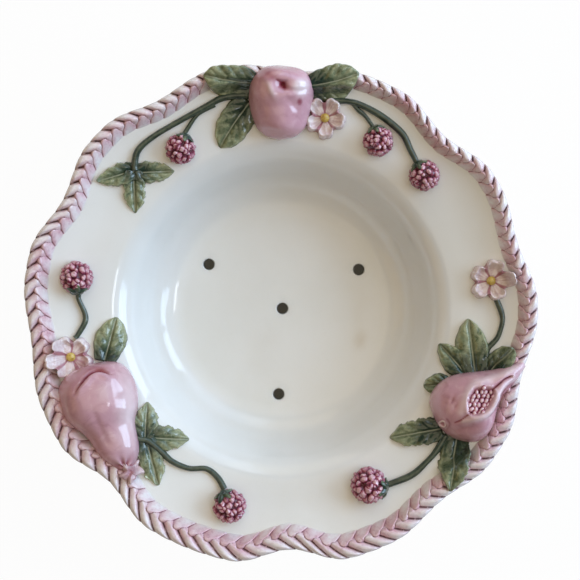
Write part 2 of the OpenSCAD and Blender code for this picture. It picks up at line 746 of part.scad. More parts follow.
module flower_centre(k) {
    shares = flower_shares[k];
    side = reach(flower_d / 2);
    color("gold") pressed_on(shares[0] - side, shares[0] + side, flange_r(shares[1]) - eye_d, lip_r)
        on_flange([shares[0], shares[1]], petal_t * eye_lift_share) sphere(d = eye_d, $fn = 48);
}

bowl_body();
for (i = [1:3])
    plait_strand(i - 1);
apple();
pear();
pear_calyx();
pomegranate();
pomegranate_seeds();
pomegranate_crown();
for (i = [1:len(apple_leaf_shares)])
    group_leaf(apple_leaf_shares, i - 1) apple_form();
for (i = [1:len(sprig_leaf_shares)])
    group_leaf(sprig_leaf_shares, i - 1);
for (i = [1:len(pear_leaf_shares)])
    group_leaf(pear_leaf_shares, i - 1) pear_form();
for (i = [1:len(pome_leaf_shares)])
    group_leaf(pome_leaf_shares, i - 1) pome_form(split_rise);
for (i = [1:len(stem_shares)])
    stem(i - 1);
for (i = [1:len(berry_shares)])
    berry(i - 1);
for (i = [1:len(berry_shares)])
    berry_cap(i - 1);
flower(0) {  // flower_1
    apple_form();
    leaf_form(apple_leaf_shares[2]);
}
flower(1);  // flower_2
flower(2) pear_form();  // flower_3
for (i = [1:len(flower_shares)])
    flower_centre(i - 1);
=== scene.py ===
import math

import bmesh
import bpy
import numpy as np
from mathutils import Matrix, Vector, geometry


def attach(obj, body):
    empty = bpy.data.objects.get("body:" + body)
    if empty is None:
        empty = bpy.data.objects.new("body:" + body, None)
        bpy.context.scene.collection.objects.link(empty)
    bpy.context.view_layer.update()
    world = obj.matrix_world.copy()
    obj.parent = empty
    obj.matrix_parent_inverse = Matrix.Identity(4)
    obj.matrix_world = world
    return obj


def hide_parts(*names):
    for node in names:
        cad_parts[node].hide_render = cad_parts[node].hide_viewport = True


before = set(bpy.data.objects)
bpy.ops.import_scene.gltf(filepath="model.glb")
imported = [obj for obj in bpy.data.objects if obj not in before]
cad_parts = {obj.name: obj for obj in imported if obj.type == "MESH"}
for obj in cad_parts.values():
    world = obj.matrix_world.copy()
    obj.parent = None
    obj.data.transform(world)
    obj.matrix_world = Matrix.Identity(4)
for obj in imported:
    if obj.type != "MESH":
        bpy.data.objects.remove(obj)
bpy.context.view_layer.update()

# Sizes, as in part.scad, in mm
MM = 0.001
RIM_R, LIP_R, WELL_DEPTH, WALL_T = 129.0, 88.0, 38.5, 5.0
WALL_ANGLE, FLOOR_FILLET, LIP_ROUND, FLANGE_ANGLE = 72.0, 20.0, 16.0, 15.0
FOOT_H, FOOT_W, FOOT_OUT, FOOT_ROUND, FOOT_FILLET = 6.0, 4.5, 5.0, 1.0, 1.6
DRAIN_D, DRAIN_INSET, DRAIN_ANGLES = 6.0, 5.75, (27, 149, 267.5)
WAIST_DEPTH, WAIST_REACH = 9.2, 14.0
PLAIT_W, PLAIT_NARROW, PLAIT_H, EDGE_INSET = 13.0, 4.6, 6.2, 0.8
TURNS = 33
WAISTS = [16, 47, 85, 120, 153, 187, 225, 272, 310, 345]
WAIST_SHARES = [0.65, 1, 0.82, 0.76, 0.68, 0.33, 0.79, 0.98, 0.52, 0.49]
LOBE_SHARES = [0.33, 0.43, 0.38, 0.16, 0, 0, 0.16, 0.08, 0, 0.11]
BAND_W = 41.0
LEAF_W, STEM_R, BERRY_D, FLOWER_D = 19.0, 1.6, 18.5, 22.0

FLOOR_Z = FOOT_H + WALL_T
LIP_Z = FLOOR_Z + WELL_DEPTH
RAD = math.pi / 180
S_W, C_W = math.sin(WALL_ANGLE * RAD), math.cos(WALL_ANGLE * RAD)
S_F, C_F = math.sin(FLANGE_ANGLE * RAD), math.cos(FLANGE_ANGLE * RAD)
WALL_L = (WELL_DEPTH - FLOOR_FILLET * (1 - C_W) - LIP_ROUND * (C_F - C_W)) / S_W
FLOOR_R = LIP_R - FLOOR_FILLET * S_W - LIP_ROUND * (S_W - S_F) - WALL_L * C_W
FAR_R = RIM_R + WALL_T
FOOT_R = FLOOR_R + FOOT_OUT
DRAIN_R = FLOOR_R - DRAIN_INSET
DRAINS = [(0.0, 0.0)] + [(DRAIN_R * math.cos(a * RAD), DRAIN_R * math.sin(a * RAD))
                         for a in DRAIN_ANGLES]

# The camera looks straight down, in mm, and its picture is 580 pixels square
CAM_X, CAM_Y, CAM_Z = 4.25, 10.25, 510.0
PX_MID, PX_FOCAL = 290.0, 900.0
FLOOR_PX, FLOOR_MM_PER_PX = (281.5, 310.5), 0.5
SENSOR = 36.0


# Curves that the shapes and colours share
def ease(x):
    x = np.clip(x, 0, 1)
    return x * x * (3 - 2 * x)


def bell(gap, width):
    """1 where the gap is none, falling to little beyond that width."""
    return np.exp(-(gap / width) ** 2)


def blob(p, x, y, wide, tall):
    """A soft oval spot over points p of the picture."""
    return np.exp(-((p[:, 0] - x) / wide) ** 2 - ((p[:, 1] - y) / tall) ** 2)


def arch(s, margin=0.0):
    """Rises from one end of a line and falls to the other, but not to nothing where there is a margin."""
    return np.sin(np.clip(s, margin, 1 - margin) * math.pi)


def arc(cx, cz, radius, since, until, count):
    """Points of a profile round a centre, from one angle to another."""
    return [(cx + radius * math.cos(t * RAD), cz + radius * math.sin(t * RAD))
            for t in np.linspace(since, until, count)]


def round_steps(count):
    return np.arange(count) * 2 * math.pi / count


def waves(p, size, seed, count=9):
    """Smooth unevenness from -1 to 1 with bumps of about that size, the same on each run."""
    rng = np.random.default_rng(seed)
    total = np.zeros(len(p))
    for _ in range(count):
        way = rng.normal(size=3)
        way *= 2 * math.pi / (size * rng.uniform(1.2, 2.6)) / np.linalg.norm(way)
        total += np.sin(p @ way + rng.uniform(0, 2 * math.pi))
    return total / math.sqrt(count)


# The bowl's surface
ARC_STEPS = 40


def surface_line(depth):
    """The profile of the well, the lip and the flange, that far under the glazed surface."""
    pts = [(0.0, FLOOR_Z - depth)]
    pts += arc(FLOOR_R, FLOOR_Z + FLOOR_FILLET, FLOOR_FILLET + depth, -90, WALL_ANGLE - 90, ARC_STEPS + 1)
    pts += arc(LIP_R + LIP_ROUND * S_F, LIP_Z - LIP_ROUND * C_F, LIP_ROUND - depth,
               90 + WALL_ANGLE, 90 + FLANGE_ANGLE, ARC_STEPS + 1)
    pts.append((FAR_R, LIP_Z + (FAR_R - LIP_R) * math.tan(FLANGE_ANGLE * RAD) - depth / C_F))
    return np.array(pts)


UPPER, UNDER = surface_line(0), surface_line(WALL_T)


def surface_z(r):
    return np.interp(r, UPPER[:, 0], UPPER[:, 1])


def swell(gap):
    return 1.0 if gap >= WAIST_REACH else (1 - math.cos(math.pi * gap / WAIST_REACH)) / 2


def edge_dip(a):
    """How far the rim's edge draws in at an angle, as a share of the deepest waist."""
    i = max((k for k, w in enumerate(WAISTS) if w <= a), default=len(WAISTS) - 1)
    j = (i + 1) % len(WAISTS)
    since, until = (a - WAISTS[i]) % 360, (WAISTS[j] - a) % 360
    lobe = LOBE_SHARES[i]
    return (lobe + (WAIST_SHARES[i] - lobe) * (1 - swell(since))
            + (WAIST_SHARES[j] - lobe) * (1 - swell(until)))


EDGE_A = np.arange(0, 360.5, 1.0)
EDGE_R = np.array([RIM_R - WAIST_DEPTH * edge_dip(a % 360) for a in EDGE_A])
# the plait is cut in a little more behind the apple
EDGE_R -= 2.0 * bell(EDGE_A - 92, 9)


def edge_r(a):
    return np.interp(np.mod(a, 360.0), EDGE_A, EDGE_R)


def plait_width(a):
    return PLAIT_W - PLAIT_NARROW * (1 + np.cos((np.asarray(a) - 65.0) * RAD)) / 2


def rest_z(x, y, ramp=PLAIT_W / 5):
    """The height that relief rests on: the flange, and a ramp up on to the plait."""
    r, a = np.hypot(x, y), np.degrees(np.arctan2(y, x))
    inner = edge_r(a) - plait_width(a)
    return surface_z(r) + PLAIT_H * 0.93 * ease((r - inner + ramp) / ramp)


def flange_r(share):
    return (LIP_R + RIM_R) / 2 + (share - 0.5) * BAND_W


def spot(a, share):
    r = flange_r(share)
    return np.array([r * math.cos(a * RAD), r * math.sin(a * RAD)])


def settle(verts, sink=0.8):
    """Parts of a piece that are below the bowl's surface follow it just under it."""
    r = np.hypot(verts[:, 0], verts[:, 1])
    verts[:, 2] = np.maximum(verts[:, 2], surface_z(r) - sink)
    return verts


# Meshes
def make(name, verts, faces, mat, node, attrs=None, merge=0.0):
    """A piece on the one body that replaces a CAD node, with named values on its points."""
    me = bpy.data.meshes.new(name)
    verts = np.asarray(verts, float) * MM
    me.from_pydata(verts.tolist(), [], [list(map(int, f)) for f in faces])
    for key, values in (attrs or {}).items():
        layer = me.attributes.new(key, "FLOAT", "POINT")
        layer.data.foreach_set("value", np.asarray(values, np.float32))
    if merge:
        bm = bmesh.new()
        bm.from_mesh(me)
        bmesh.ops.remove_doubles(bm, verts=bm.verts, dist=merge * MM)
        bmesh.ops.recalc_face_normals(bm, faces=bm.faces)
        bm.to_mesh(me)
        bm.free()
    me.polygons.foreach_set("use_smooth", [True] * len(me.polygons))
    me.materials.append(mat)
    me.update()
    obj = bpy.data.objects.new(name, me)
    bpy.context.scene.collection.objects.link(obj)
    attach(obj, "root")
    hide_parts(node)


def grid_faces(rows, cols, wrap_rows=False, wrap_cols=False, start=0, flip=False):
    i = np.arange(rows if wrap_rows else rows - 1)
    j = np.arange(cols if wrap_cols else cols - 1)
    ii, jj = np.meshgrid(i, j, indexing="ij")
    a = ii * cols + jj
    b = ii * cols + (jj + 1) % cols
    c = ((ii + 1) % rows) * cols + (jj + 1) % cols
    d = ((ii + 1) % rows) * cols + jj
    quads = np.stack([a, b, c, d] if not flip else [a, d, c, b], -1).reshape(-1, 4)
    return (quads + start).tolist()


def make_rings(name, rings, mat, node, attrs=None, merge=0.0, flip=False):
    """A piece made of rings of as many points each."""
    faces = grid_faces(len(rings), len(rings[0]), wrap_cols=True, flip=flip)
    make(name, np.concatenate(rings), faces, mat, node, attrs, merge)


# Materials
def material(name):
    m = bpy.data.materials.new(name)
    m.use_nodes = True
    nt = m.node_tree
    for n in list(nt.nodes):
        nt.nodes.remove(n)
    out = nt.nodes.new("ShaderNodeOutputMaterial")
    shader = nt.nodes.new("ShaderNodeBsdfPrincipled")
    nt.links.new(shader.outputs[0], out.inputs[0])
    return m, nt, shader


def noise_node(nt, scale, detail=3.0, rough=0.5, distortion=0.0):
    n = nt.nodes.new("ShaderNodeTexNoise")
    n.inputs["Scale"].default_value = scale
    n.inputs["Detail"].default_value = detail
    n.inputs["Roughness"].default_value = rough
    n.inputs["Distortion"].default_value = distortion
    coord = nt.nodes.new("ShaderNodeTexCoord")
    nt.links.new(coord.outputs["Object"], n.inputs["Vector"])
    return n.outputs["Fac"]


def attribute(nt, name):
    n = nt.nodes.new("ShaderNodeAttribute")
    n.attribute_name = name
    return n.outputs["Fac"]


def ramp(nt, fac, stops):
    n = nt.nodes.new("ShaderNodeValToRGB")
    n.color_ramp.interpolation = "EASE"
    while len(n.color_ramp.elements) < len(stops):
        n.color_ramp.elements.new(0.5)
    for e, (pos, col) in zip(n.color_ramp.elements, stops):
        e.position = pos
        e.color = (*col, 1)
    nt.links.new(fac, n.inputs["Fac"])
    return n.outputs["Color"]


def mix(nt, fac, a, b):
    n = nt.nodes.new("ShaderNodeMix")
    n.data_type = "RGBA"
    for value, sock in ((fac, n.inputs[0]), (a, n.inputs[6]), (b, n.inputs[7])):
        if isinstance(value, (int, float)):
            sock.default_value = value
        elif isinstance(value, tuple):
            sock.default_value = (*value, 1)
        else:
            nt.links.new(value, sock)
    return n.outputs[2]


def calc(nt, op, a, b=0.0, clamp=False):
    n = nt.nodes.new("ShaderNodeMath")
    n.operation = op
    n.use_clamp = clamp
    for value, sock in ((a, n.inputs[0]), (b, n.inputs[1])):
        if isinstance(value, (int, float)):
            sock.default_value = value
        else:
            nt.links.new(value, sock)
    return n.outputs[0]


def span(nt, value, low, high, to_low=0.0, to_high=1.0):
    n = nt.nodes.new("ShaderNodeMapRange")
    n.interpolation_type = "SMOOTHSTEP"
    nt.links.new(value, n.inputs["Value"])
    n.inputs["From Min"].default_value = low
    n.inputs["From Max"].default_value = high
    n.inputs["To Min"].default_value = to_low
    n.inputs["To Max"].default_value = to_high
    return n.outputs["Result"]


def bump(nt, shader, layers, distance):
    """Fine relief from layers, each a height and its strength."""
    last = None
    for height, strength in layers:
        n = nt.nodes.new("ShaderNodeBump")
        n.inputs["Strength"].default_value = strength
        n.inputs["Distance"].default_value = distance
        nt.links.new(height, n.inputs["Height"])
        if last is not None:
            nt.links.new(last, n.inputs["Normal"])
        last = n.outputs["Normal"]
    nt.links.new(last, shader.inputs["Normal"])


def glaze(name):
    """A glossy glaze under a clear coat."""
    m, nt, shader = material(name)
    for key, value in (("Roughness", 0.15), ("IOR", 1.52), ("Coat Weight", 0.35), ("Coat Roughness", 0.04),
                       ("Coat IOR", 1.5)):
        shader.inputs[key].default_value = value
    return m, nt, shader


def finish(m, colour, layers, distance):
    """Joins a glaze's colour and fine relief to its shader."""
    shader = next(n for n in m.node_tree.nodes if n.type == "BSDF_PRINCIPLED")
    m.node_tree.links.new(colour, shader.inputs["Base Color"])
    bump(m.node_tree, shader, layers, distance)
    return m


def swayed(nt, value, noise, amount):
    """A value moved up and down by a noise."""
    return calc(nt, "ADD", value, calc(nt, "MULTIPLY", calc(nt, "SUBTRACT", noise, 0.5), amount))


def rough_from(nt, shader, socket, low, high):
    nt.links.new(span(nt, socket, 0.3, 0.7, low, high), shader.inputs["Roughness"])


def white_glaze():
    m, nt, s = glaze("white_glaze")
    cloud = noise_node(nt, 16, 4, 0.55)
    fine = noise_node(nt, 900, 2, 0.6)
    specks = noise_node(nt, 2600, 1, 0.4)
    base = ramp(nt, cloud, [(0.3, (0.80, 0.80, 0.775)), (0.7, (0.845, 0.845, 0.83))])
    stain = span(nt, attribute(nt, "stain"), 0.0, 1.0)
    base = mix(nt, stain, base, (0.70, 0.655, 0.58))
    # a darker ring at each drain hole's rounded mouth: partly pooled glaze, partly painted shade where the
    # edge turns down
    pool_and_shade = attribute(nt, "pool_and_shade")
    base = mix(nt, pool_and_shade, base, (0.70, 0.71, 0.70))
    # painted shade: the walls of the drain bores are darkened
    base = mix(nt, attribute(nt, "bore_shade"), base, (0.26, 0.26, 0.255))
    dot = span(nt, specks, 0.735, 0.76, 0.0, 0.35)
    base = mix(nt, dot, base, (0.62, 0.56, 0.47))
    bare = attribute(nt, "bare")
    base = mix(nt, bare, base, (0.72, 0.66, 0.56))
    nt.links.new(base, s.inputs["Base Color"])
    rough = span(nt, noise_node(nt, 60, 3), 0.3, 0.7, 0.045, 0.09)
    n = nt.nodes.new("ShaderNodeMix")
    n.inputs[3].default_value = 0.75
    nt.links.new(bare, n.inputs[0])
    nt.links.new(rough, n.inputs[2])
    nt.links.new(n.outputs[0], s.inputs["Roughness"])
    s.inputs["Coat Weight"].default_value = 0.0
    bump(nt, s, [(noise_node(nt, 55, 2), 0.5), (fine, 0.05)], 0.0003)
    return m


def plait_glaze():
    m, nt, s = glaze("plait_glaze")
    groove, reach, tone = attribute(nt, "groove"), attribute(nt, "reach"), attribute(nt, "tone")
    outer, crown = attribute(nt, "outer"), attribute(nt, "crown")
    brush = noise_node(nt, 420, 4, 0.65, 0.6)
    patch = noise_node(nt, 60, 3, 0.5)
    pale = ramp(nt, brush, [(0.3, (0.79, 0.665, 0.69)), (0.5, (0.87, 0.79, 0.80)),
                            (0.72, (0.91, 0.88, 0.88))])
    rosy = ramp(nt, brush, [(0.3, (0.58, 0.31, 0.365)), (0.55, (0.73, 0.47, 0.515)),
                            (0.75, (0.84, 0.64, 0.67))])
    inner = calc(nt, "SUBTRACT", 1.0, outer)
    rosiness = calc(nt, "ADD", span(nt, reach, 0.05, 0.8, 0.5, -0.08),
                    span(nt, patch, 0.35, 0.65, -0.14, 0.22))
    rosiness = calc(nt, "ADD", rosiness, span(nt, tone, 0.0, 1.0, -0.15, 0.2))
    rosiness = calc(nt, "ADD", rosiness, calc(nt, "MULTIPLY", inner, 0.27))
    rosiness = calc(nt, "ADD", rosiness, span(nt, crown, 0.25, 0.85, 0.3, -0.12), True)
    base = mix(nt, rosiness, pale, rosy)
    tips = calc(nt, "MULTIPLY", inner, span(nt, reach, 0.7, 0.97, 0.0, 0.85))
    base = mix(nt, tips, base, (0.81, 0.785, 0.77))
    # painted shade: the outer edge darkens where it rolls down under the plait
    under = calc(nt, "MULTIPLY", outer, span(nt, reach, 0.78, 0.98, 0.0, 0.7))
    base = mix(nt, under, base, (0.37, 0.29, 0.315))
    # dark lines in the grooves between strips: partly mauve glaze pooled there, partly painted shade, deeper
    # on the outer row
    dark = mix(nt, outer, (0.42, 0.18, 0.22), (0.21, 0.11, 0.125))
    line = span(nt, calc(nt, "ADD", groove, calc(nt, "MULTIPLY", brush, 0.25)), 0.4, 1.15)
    base = mix(nt, line, base, dark)
    rough_from(nt, s, brush, 0.12, 0.2)
    return finish(m, base, [(brush, 0.22), (patch, 0.3)], 0.0002)


# Camera, floor and lights
def camera():
    cam = bpy.data.cameras.new("camera")
    cam.sensor_width = SENSOR
    cam.lens = SENSOR * PX_FOCAL / (2 * PX_MID)
    cam.clip_end = 20
    obj = bpy.data.objects.new("camera", cam)
    obj.location = (CAM_X * MM, CAM_Y * MM, CAM_Z * MM)
    bpy.context.scene.collection.objects.link(obj)
    bpy.context.scene.camera = obj


def area(name, place, target, size_x, size_y, power, colour):
    light = bpy.data.lights.new(name, "AREA")
    light.shape = "RECTANGLE"
    light.size, light.size_y = size_x, size_y
    light.energy = power
    light.color = colour
    obj = bpy.data.objects.new(name, light)
    obj.location = place
    obj.rotation_euler = (Vector(target) - Vector(place)).to_track_quat("-Z", "Y").to_euler()
    bpy.context.scene.collection.objects.link(obj)


def studio():
    scene = bpy.context.scene
    scene.view_settings.view_transform = "Standard"
    world = bpy.data.worlds.new("world")
    scene.world = world
    world.use_nodes = True
    nt = world.node_tree
    back = nt.nodes["Background"]
    back.inputs["Color"].default_value = (1.0, 1.0, 1.0, 1)
    back.inputs["Strength"].default_value = 0.08
    white = nt.nodes.new("ShaderNodeBackground")
    white.inputs["Color"].default_value = (1, 1, 1, 1)
    path = nt.nodes.new("ShaderNodeLightPath")
    blend = nt.nodes.new("ShaderNodeMixShader")
    nt.links.new(path.outputs["Is Camera Ray"], blend.inputs[0])
    nt.links.new(back.outputs[0], blend.inputs[1])
    nt.links.new(white.outputs[0], blend.inputs[2])
    nt.links.new(blend.outputs[0], nt.nodes["World Output"].inputs[0])

    me = bpy.data.meshes.new("floor")
    h = 3.0
    me.from_pydata([(-h, -h, 0), (h, -h, 0), (h, h, 0), (-h, h, 0)], [], [(0, 1, 2, 3)])
    floor = bpy.data.objects.new("floor", me)
    scene.collection.objects.link(floor)
    m, nt, s = material("floor_paper")
    s.inputs["Roughness"].default_value = 0.9
    s.inputs["Specular IOR Level"].default_value = 0.1
    tone = noise_node(nt, 12, 3)
    glow = nt.nodes.new("ShaderNodeEmission")
    glow.inputs["Strength"].default_value = 1.0
    path = nt.nodes.new("ShaderNodeLightPath")
    share = calc(nt, "MULTIPLY", path.outputs["Is Camera Ray"], 0.96)
    coord = nt.nodes.new("ShaderNodeTexCoord")
    far = nt.nodes.new("ShaderNodeVectorMath")
    far.operation = "LENGTH"
    nt.links.new(coord.outputs["Object"], far.inputs[0])
    share = calc(nt, "MULTIPLY", share, span(nt, far.outputs["Value"], 0.056, 0.064))
    paper = ramp(nt, tone, [(0.3, (0.88, 0.88, 0.88)), (0.7, (0.9, 0.9, 0.9))])
    # painted shadow: the paper is darker under the bowl, inside the foot ring
    paper = mix(nt, span(nt, far.outputs["Value"], 0.05, 0.056), (0.52, 0.53, 0.55), paper)
    nt.links.new(paper, s.inputs["Base Color"])
    blend = nt.nodes.new("ShaderNodeMixShader")
    nt.links.new(share, blend.inputs[0])
    nt.links.new(s.outputs[0], blend.inputs[1])
    nt.links.new(glow.outputs[0], blend.inputs[2])
    out = next(n for n in nt.nodes if n.type == "OUTPUT_MATERIAL")
    nt.links.new(blend.outputs[0], out.inputs[0])
    me.materials.append(m)

    def polar(az, zen, dist):
        flat = dist * math.sin(zen * RAD)
        return (flat * math.cos(az * RAD), flat * math.sin(az * RAD), dist * math.cos(zen * RAD))

    # two panes of a tall window on the right, a small high light, and the pale ceiling and walls
    aim = (0, 0, 0.05)
    area("pane_1", polar(-2, 67, 1.5), aim, 0.44, 0.92, 8.2, (0.57, 0.77, 1.0))
    area("pane_2", polar(21, 67, 1.5), aim, 0.50, 0.92, 9.0, (0.57, 0.77, 1.0))
    area("ceiling", polar(0, 0, 1.4), aim, 1.4, 1.4, 5.75, (1.0, 0.84, 0.57))
    area("left_wall", polar(190, 55, 1.5), aim, 0.9, 0.9, 1.25, (1.0, 0.55, 0.1))
    area("pane_3", polar(-9, 27, 1.5), aim, 0.2, 0.2, 0.9, (0.85, 0.9, 1.0))
    area("right_wall", polar(15, 45, 1.5), aim, 1.1, 1.1, 2.9, (0.82, 0.87, 1.0))
    area("far_right_wall", polar(58, 58, 1.5), aim, 1.1, 1.1, 6.55, (0.53, 0.73, 1.0))
    area("far_wall", polar(95, 60, 1.5), aim, 1.1, 1.1, 4.1, (1.0, 0.85, 0.58))


# Bowl
def bowl():
    turns = 720
    angles = np.arange(turns) * 360.0 / turns
    ca, sa = np.cos(angles * RAD), np.sin(angles * RAD)
    half = WALL_T / 2
    edge = edge_r(angles) - EDGE_INSET - half
    start, lip_end = FLOOR_R - 1.5, 94.0
    lip_arc = UPPER[ARC_STEPS + 2:2 * ARC_STEPS + 3, 0]
    fixed = np.concatenate([
        np.linspace(start, FLOOR_R, 3),
        FLOOR_R + FLOOR_FILLET * np.sin(np.linspace(0, WALL_ANGLE, 26)[1:] * RAD),
        np.linspace(UPPER[ARC_STEPS + 1, 0], lip_arc[0], 6)[1:-1],
        lip_arc[::2],
        [lip_end - 1, lip_end]])
    profile = [(r, surface_z(r)) for r in fixed]
    for s in np.linspace(0, 1, 15)[1:]:
        r = lip_end + (edge - lip_end) * s
        profile.append((r, surface_z(r)))
    # rounded edge, square to the flange
    edge_z, edge_mid = surface_z(edge) - half * C_F, edge + half * S_F
    profile += arc(edge_mid, edge_z, half, 90 + FLANGE_ANGLE, FLANGE_ANGLE - 90, 11)[1:]
    low_r = edge_mid + half * S_F
    under_from = lip_end - 1 + WALL_T * S_F
    for s in np.linspace(0, 1, 12)[1:]:
        r = low_r + (under_from - low_r) * s
        profile.append((r, np.interp(r, UNDER[:, 0], UNDER[:, 1])))
    back = UNDER[::-1][1:]
    profile += [tuple(p) for p in back[back[:, 0] > FOOT_R + 2.2][::2]]
    # the foot ring, from outside to inside
    in_r = FOOT_R - FOOT_W
    recess_r = in_r - FOOT_FILLET
    profile += arc(FOOT_R + FOOT_FILLET, FOOT_H + 0.5 - FOOT_FILLET, FOOT_FILLET, 90, 180, 7)
    profile += [(FOOT_R, 3.2), (FOOT_R, 1.8)]
    profile += arc(FOOT_R - FOOT_ROUND, FOOT_ROUND, FOOT_ROUND, 0, -90, 6)
    profile += [(FOOT_R - 2, 0.0), (FOOT_R - 3, 0.0)]
    profile += arc(in_r + FOOT_ROUND, FOOT_ROUND, FOOT_ROUND, -90, -180, 6)
    profile += [(in_r, 1.8), (in_r, 3.2)]
    profile += arc(recess_r, FOOT_H - FOOT_FILLET, FOOT_FILLET, 0, 90, 7)
    verts = np.concatenate([np.stack([r * ca, r * sa, np.broadcast_to(z, turns)], -1) for r, z in profile])
    faces = grid_faces(len(profile), turns, wrap_cols=True)

    # gentle unevenness of a cast and fired shell, none at the foot
    r = np.hypot(verts[:, 0], verts[:, 1])
    soft = np.clip((r - FLOOR_R) / 20, 0, 1)
    verts[:, 2] += 0.14 * soft * waves(verts, 34, 5) * (verts[:, 2] > 14)
    # the flange dips a little between the lip and the plait
    a = np.degrees(np.arctan2(verts[:, 1], verts[:, 0]))
    inner = edge_r(a) - plait_width(a)
    dish = np.clip((r - 90) / (inner - 90), 0, 1)
    verts[:, 2] -= 0.45 * np.sin(np.pi * dish) ** 2 * (verts[:, 2] > 45)

    def to_drain(x, y):
        return min(math.hypot(x - hx, y - hy) for hx, hy in DRAINS)

    def plate(radius, z, flare, up):
        """A flat disc with the four holes in it."""
        nonlocal verts, faces
        mouth, steps, step = DRAIN_D / 2 + flare, 48, 3.0
        pts = [(radius * c, radius * s) for c, s in zip(ca, sa)]
        edges = [(i, (i + 1) % turns) for i in range(turns)]
        for hx, hy in DRAINS:
            first = len(pts)
            pts += arc(hx, hy, mouth, 0, 360, steps + 1)[:-1]
            edges += [(first + i, first + (i + 1) % steps) for i in range(steps)]
        for i in range(-20, 21):
            for j in range(-20, 21):
                x, y = (i + 0.5 * (j % 2)) * step, j * step * 0.866
                if math.hypot(x, y) <= radius - 2 and to_drain(x, y) >= mouth + 1.5:
                    pts.append((x, y))
        found = geometry.delaunay_2d_cdt([Vector(p) for p in pts], edges, [], 0, 1e-5)
        first = len(verts)
        for f in found[2]:
            cx, cy = np.mean([found[0][i][:] for i in f], axis=0)
            if math.hypot(cx, cy) <= radius and to_drain(cx, cy) >= mouth - 0.02:
                faces.append([i + first for i in (f if up else f[::-1])])
        verts = np.concatenate([verts, [(*v, z) for v in found[0]]])

    # the floor, its under side, and the flared bores between them
    top_flare, low_flare, bore_r, steps = 0.9, 0.6, DRAIN_D / 2, 48
    plate(start, FLOOR_Z, top_flare, True)
    plate(recess_r, FOOT_H, low_flare, False)
    line = arc(bore_r + top_flare, FLOOR_Z - top_flare, top_flare, 90, 180, 7)
    line += [(bore_r, FLOOR_Z - 2.2), (bore_r, FOOT_H + 1.5)]
    line += arc(bore_r + low_flare, FOOT_H + low_flare, low_flare, 180, 270, 5)
    t = round_steps(steps)
    for hx, hy in DRAINS:
        faces += grid_faces(len(line), steps, wrap_cols=True, start=len(verts), flip=True)
        bore = [np.stack([hx + r * np.cos(t), hy + r * np.sin(t), np.full(steps, z)], -1) for r, z in line]
        verts = np.concatenate([verts, *bore])
    r = np.hypot(verts[:, 0], verts[:, 1])

    def patch(px, py, wide, tall, turn):
        """A soft oval stain at a pixel of the picture, its sizes in mm."""
        x, y = (px - FLOOR_PX[0]) * FLOOR_MM_PER_PX, (FLOOR_PX[1] - py) * FLOOR_MM_PER_PX
        dx, dy = verts[:, 0] - x, verts[:, 1] - y
        c, s_ = math.cos(turn * RAD), math.sin(turn * RAD)
        u, v = dx * c + dy * s_, -dx * s_ + dy * c
        return np.exp(-((u / wide) ** 2 + (v / tall) ** 2))

    up_side = verts[:, 2] > FLOOR_Z - 0.2
    stain = up_side * (0.28 * patch(262, 345, 12, 9, 20) + 0.6 * patch(368, 346, 4, 6, -15)
                       + 0.2 * patch(366, 315, 5, 16, -10) + 0.2 * patch(255, 375, 14, 9, -20))
    pool_and_shade, bore_shade = np.zeros(len(verts)), np.zeros(len(verts))
    for hx, hy in DRAINS:
        d = np.hypot(verts[:, 0] - hx, verts[:, 1] - hy) - DRAIN_D / 2
        # darker ring at the hole's mouth: pooled glaze and painted shade
        pool_and_shade = np.maximum(pool_and_shade, 0.75 * np.exp(-np.clip(d, 0, None) / 0.8) * (verts[:, 2] < 11.05))
        # painted shade down the inside of each bore, below the floor's top
        depth = np.clip((FLOOR_Z - 0.05 - verts[:, 2]) / 0.8, 0, 1)
        bore_shade = np.maximum(bore_shade, (d < 0.95) * depth * (verts[:, 2] > FOOT_H - 0.1))
    bare = ((verts[:, 2] < 0.85) & (r < FOOT_R)).astype(float)
    make("bowl_body_glazed", verts, faces, white_glaze(), "bowl_body",
         {"stain": stain, "pool_and_shade": pool_and_shade, "bore_shade": bore_shade, "bare": bare}, merge=0.002)


# Plait
STRIPS = 3 * TURNS
STRIP_STEPS, PLAIT_COLS = 24, 56
PLAIT_MID_R = 119.0


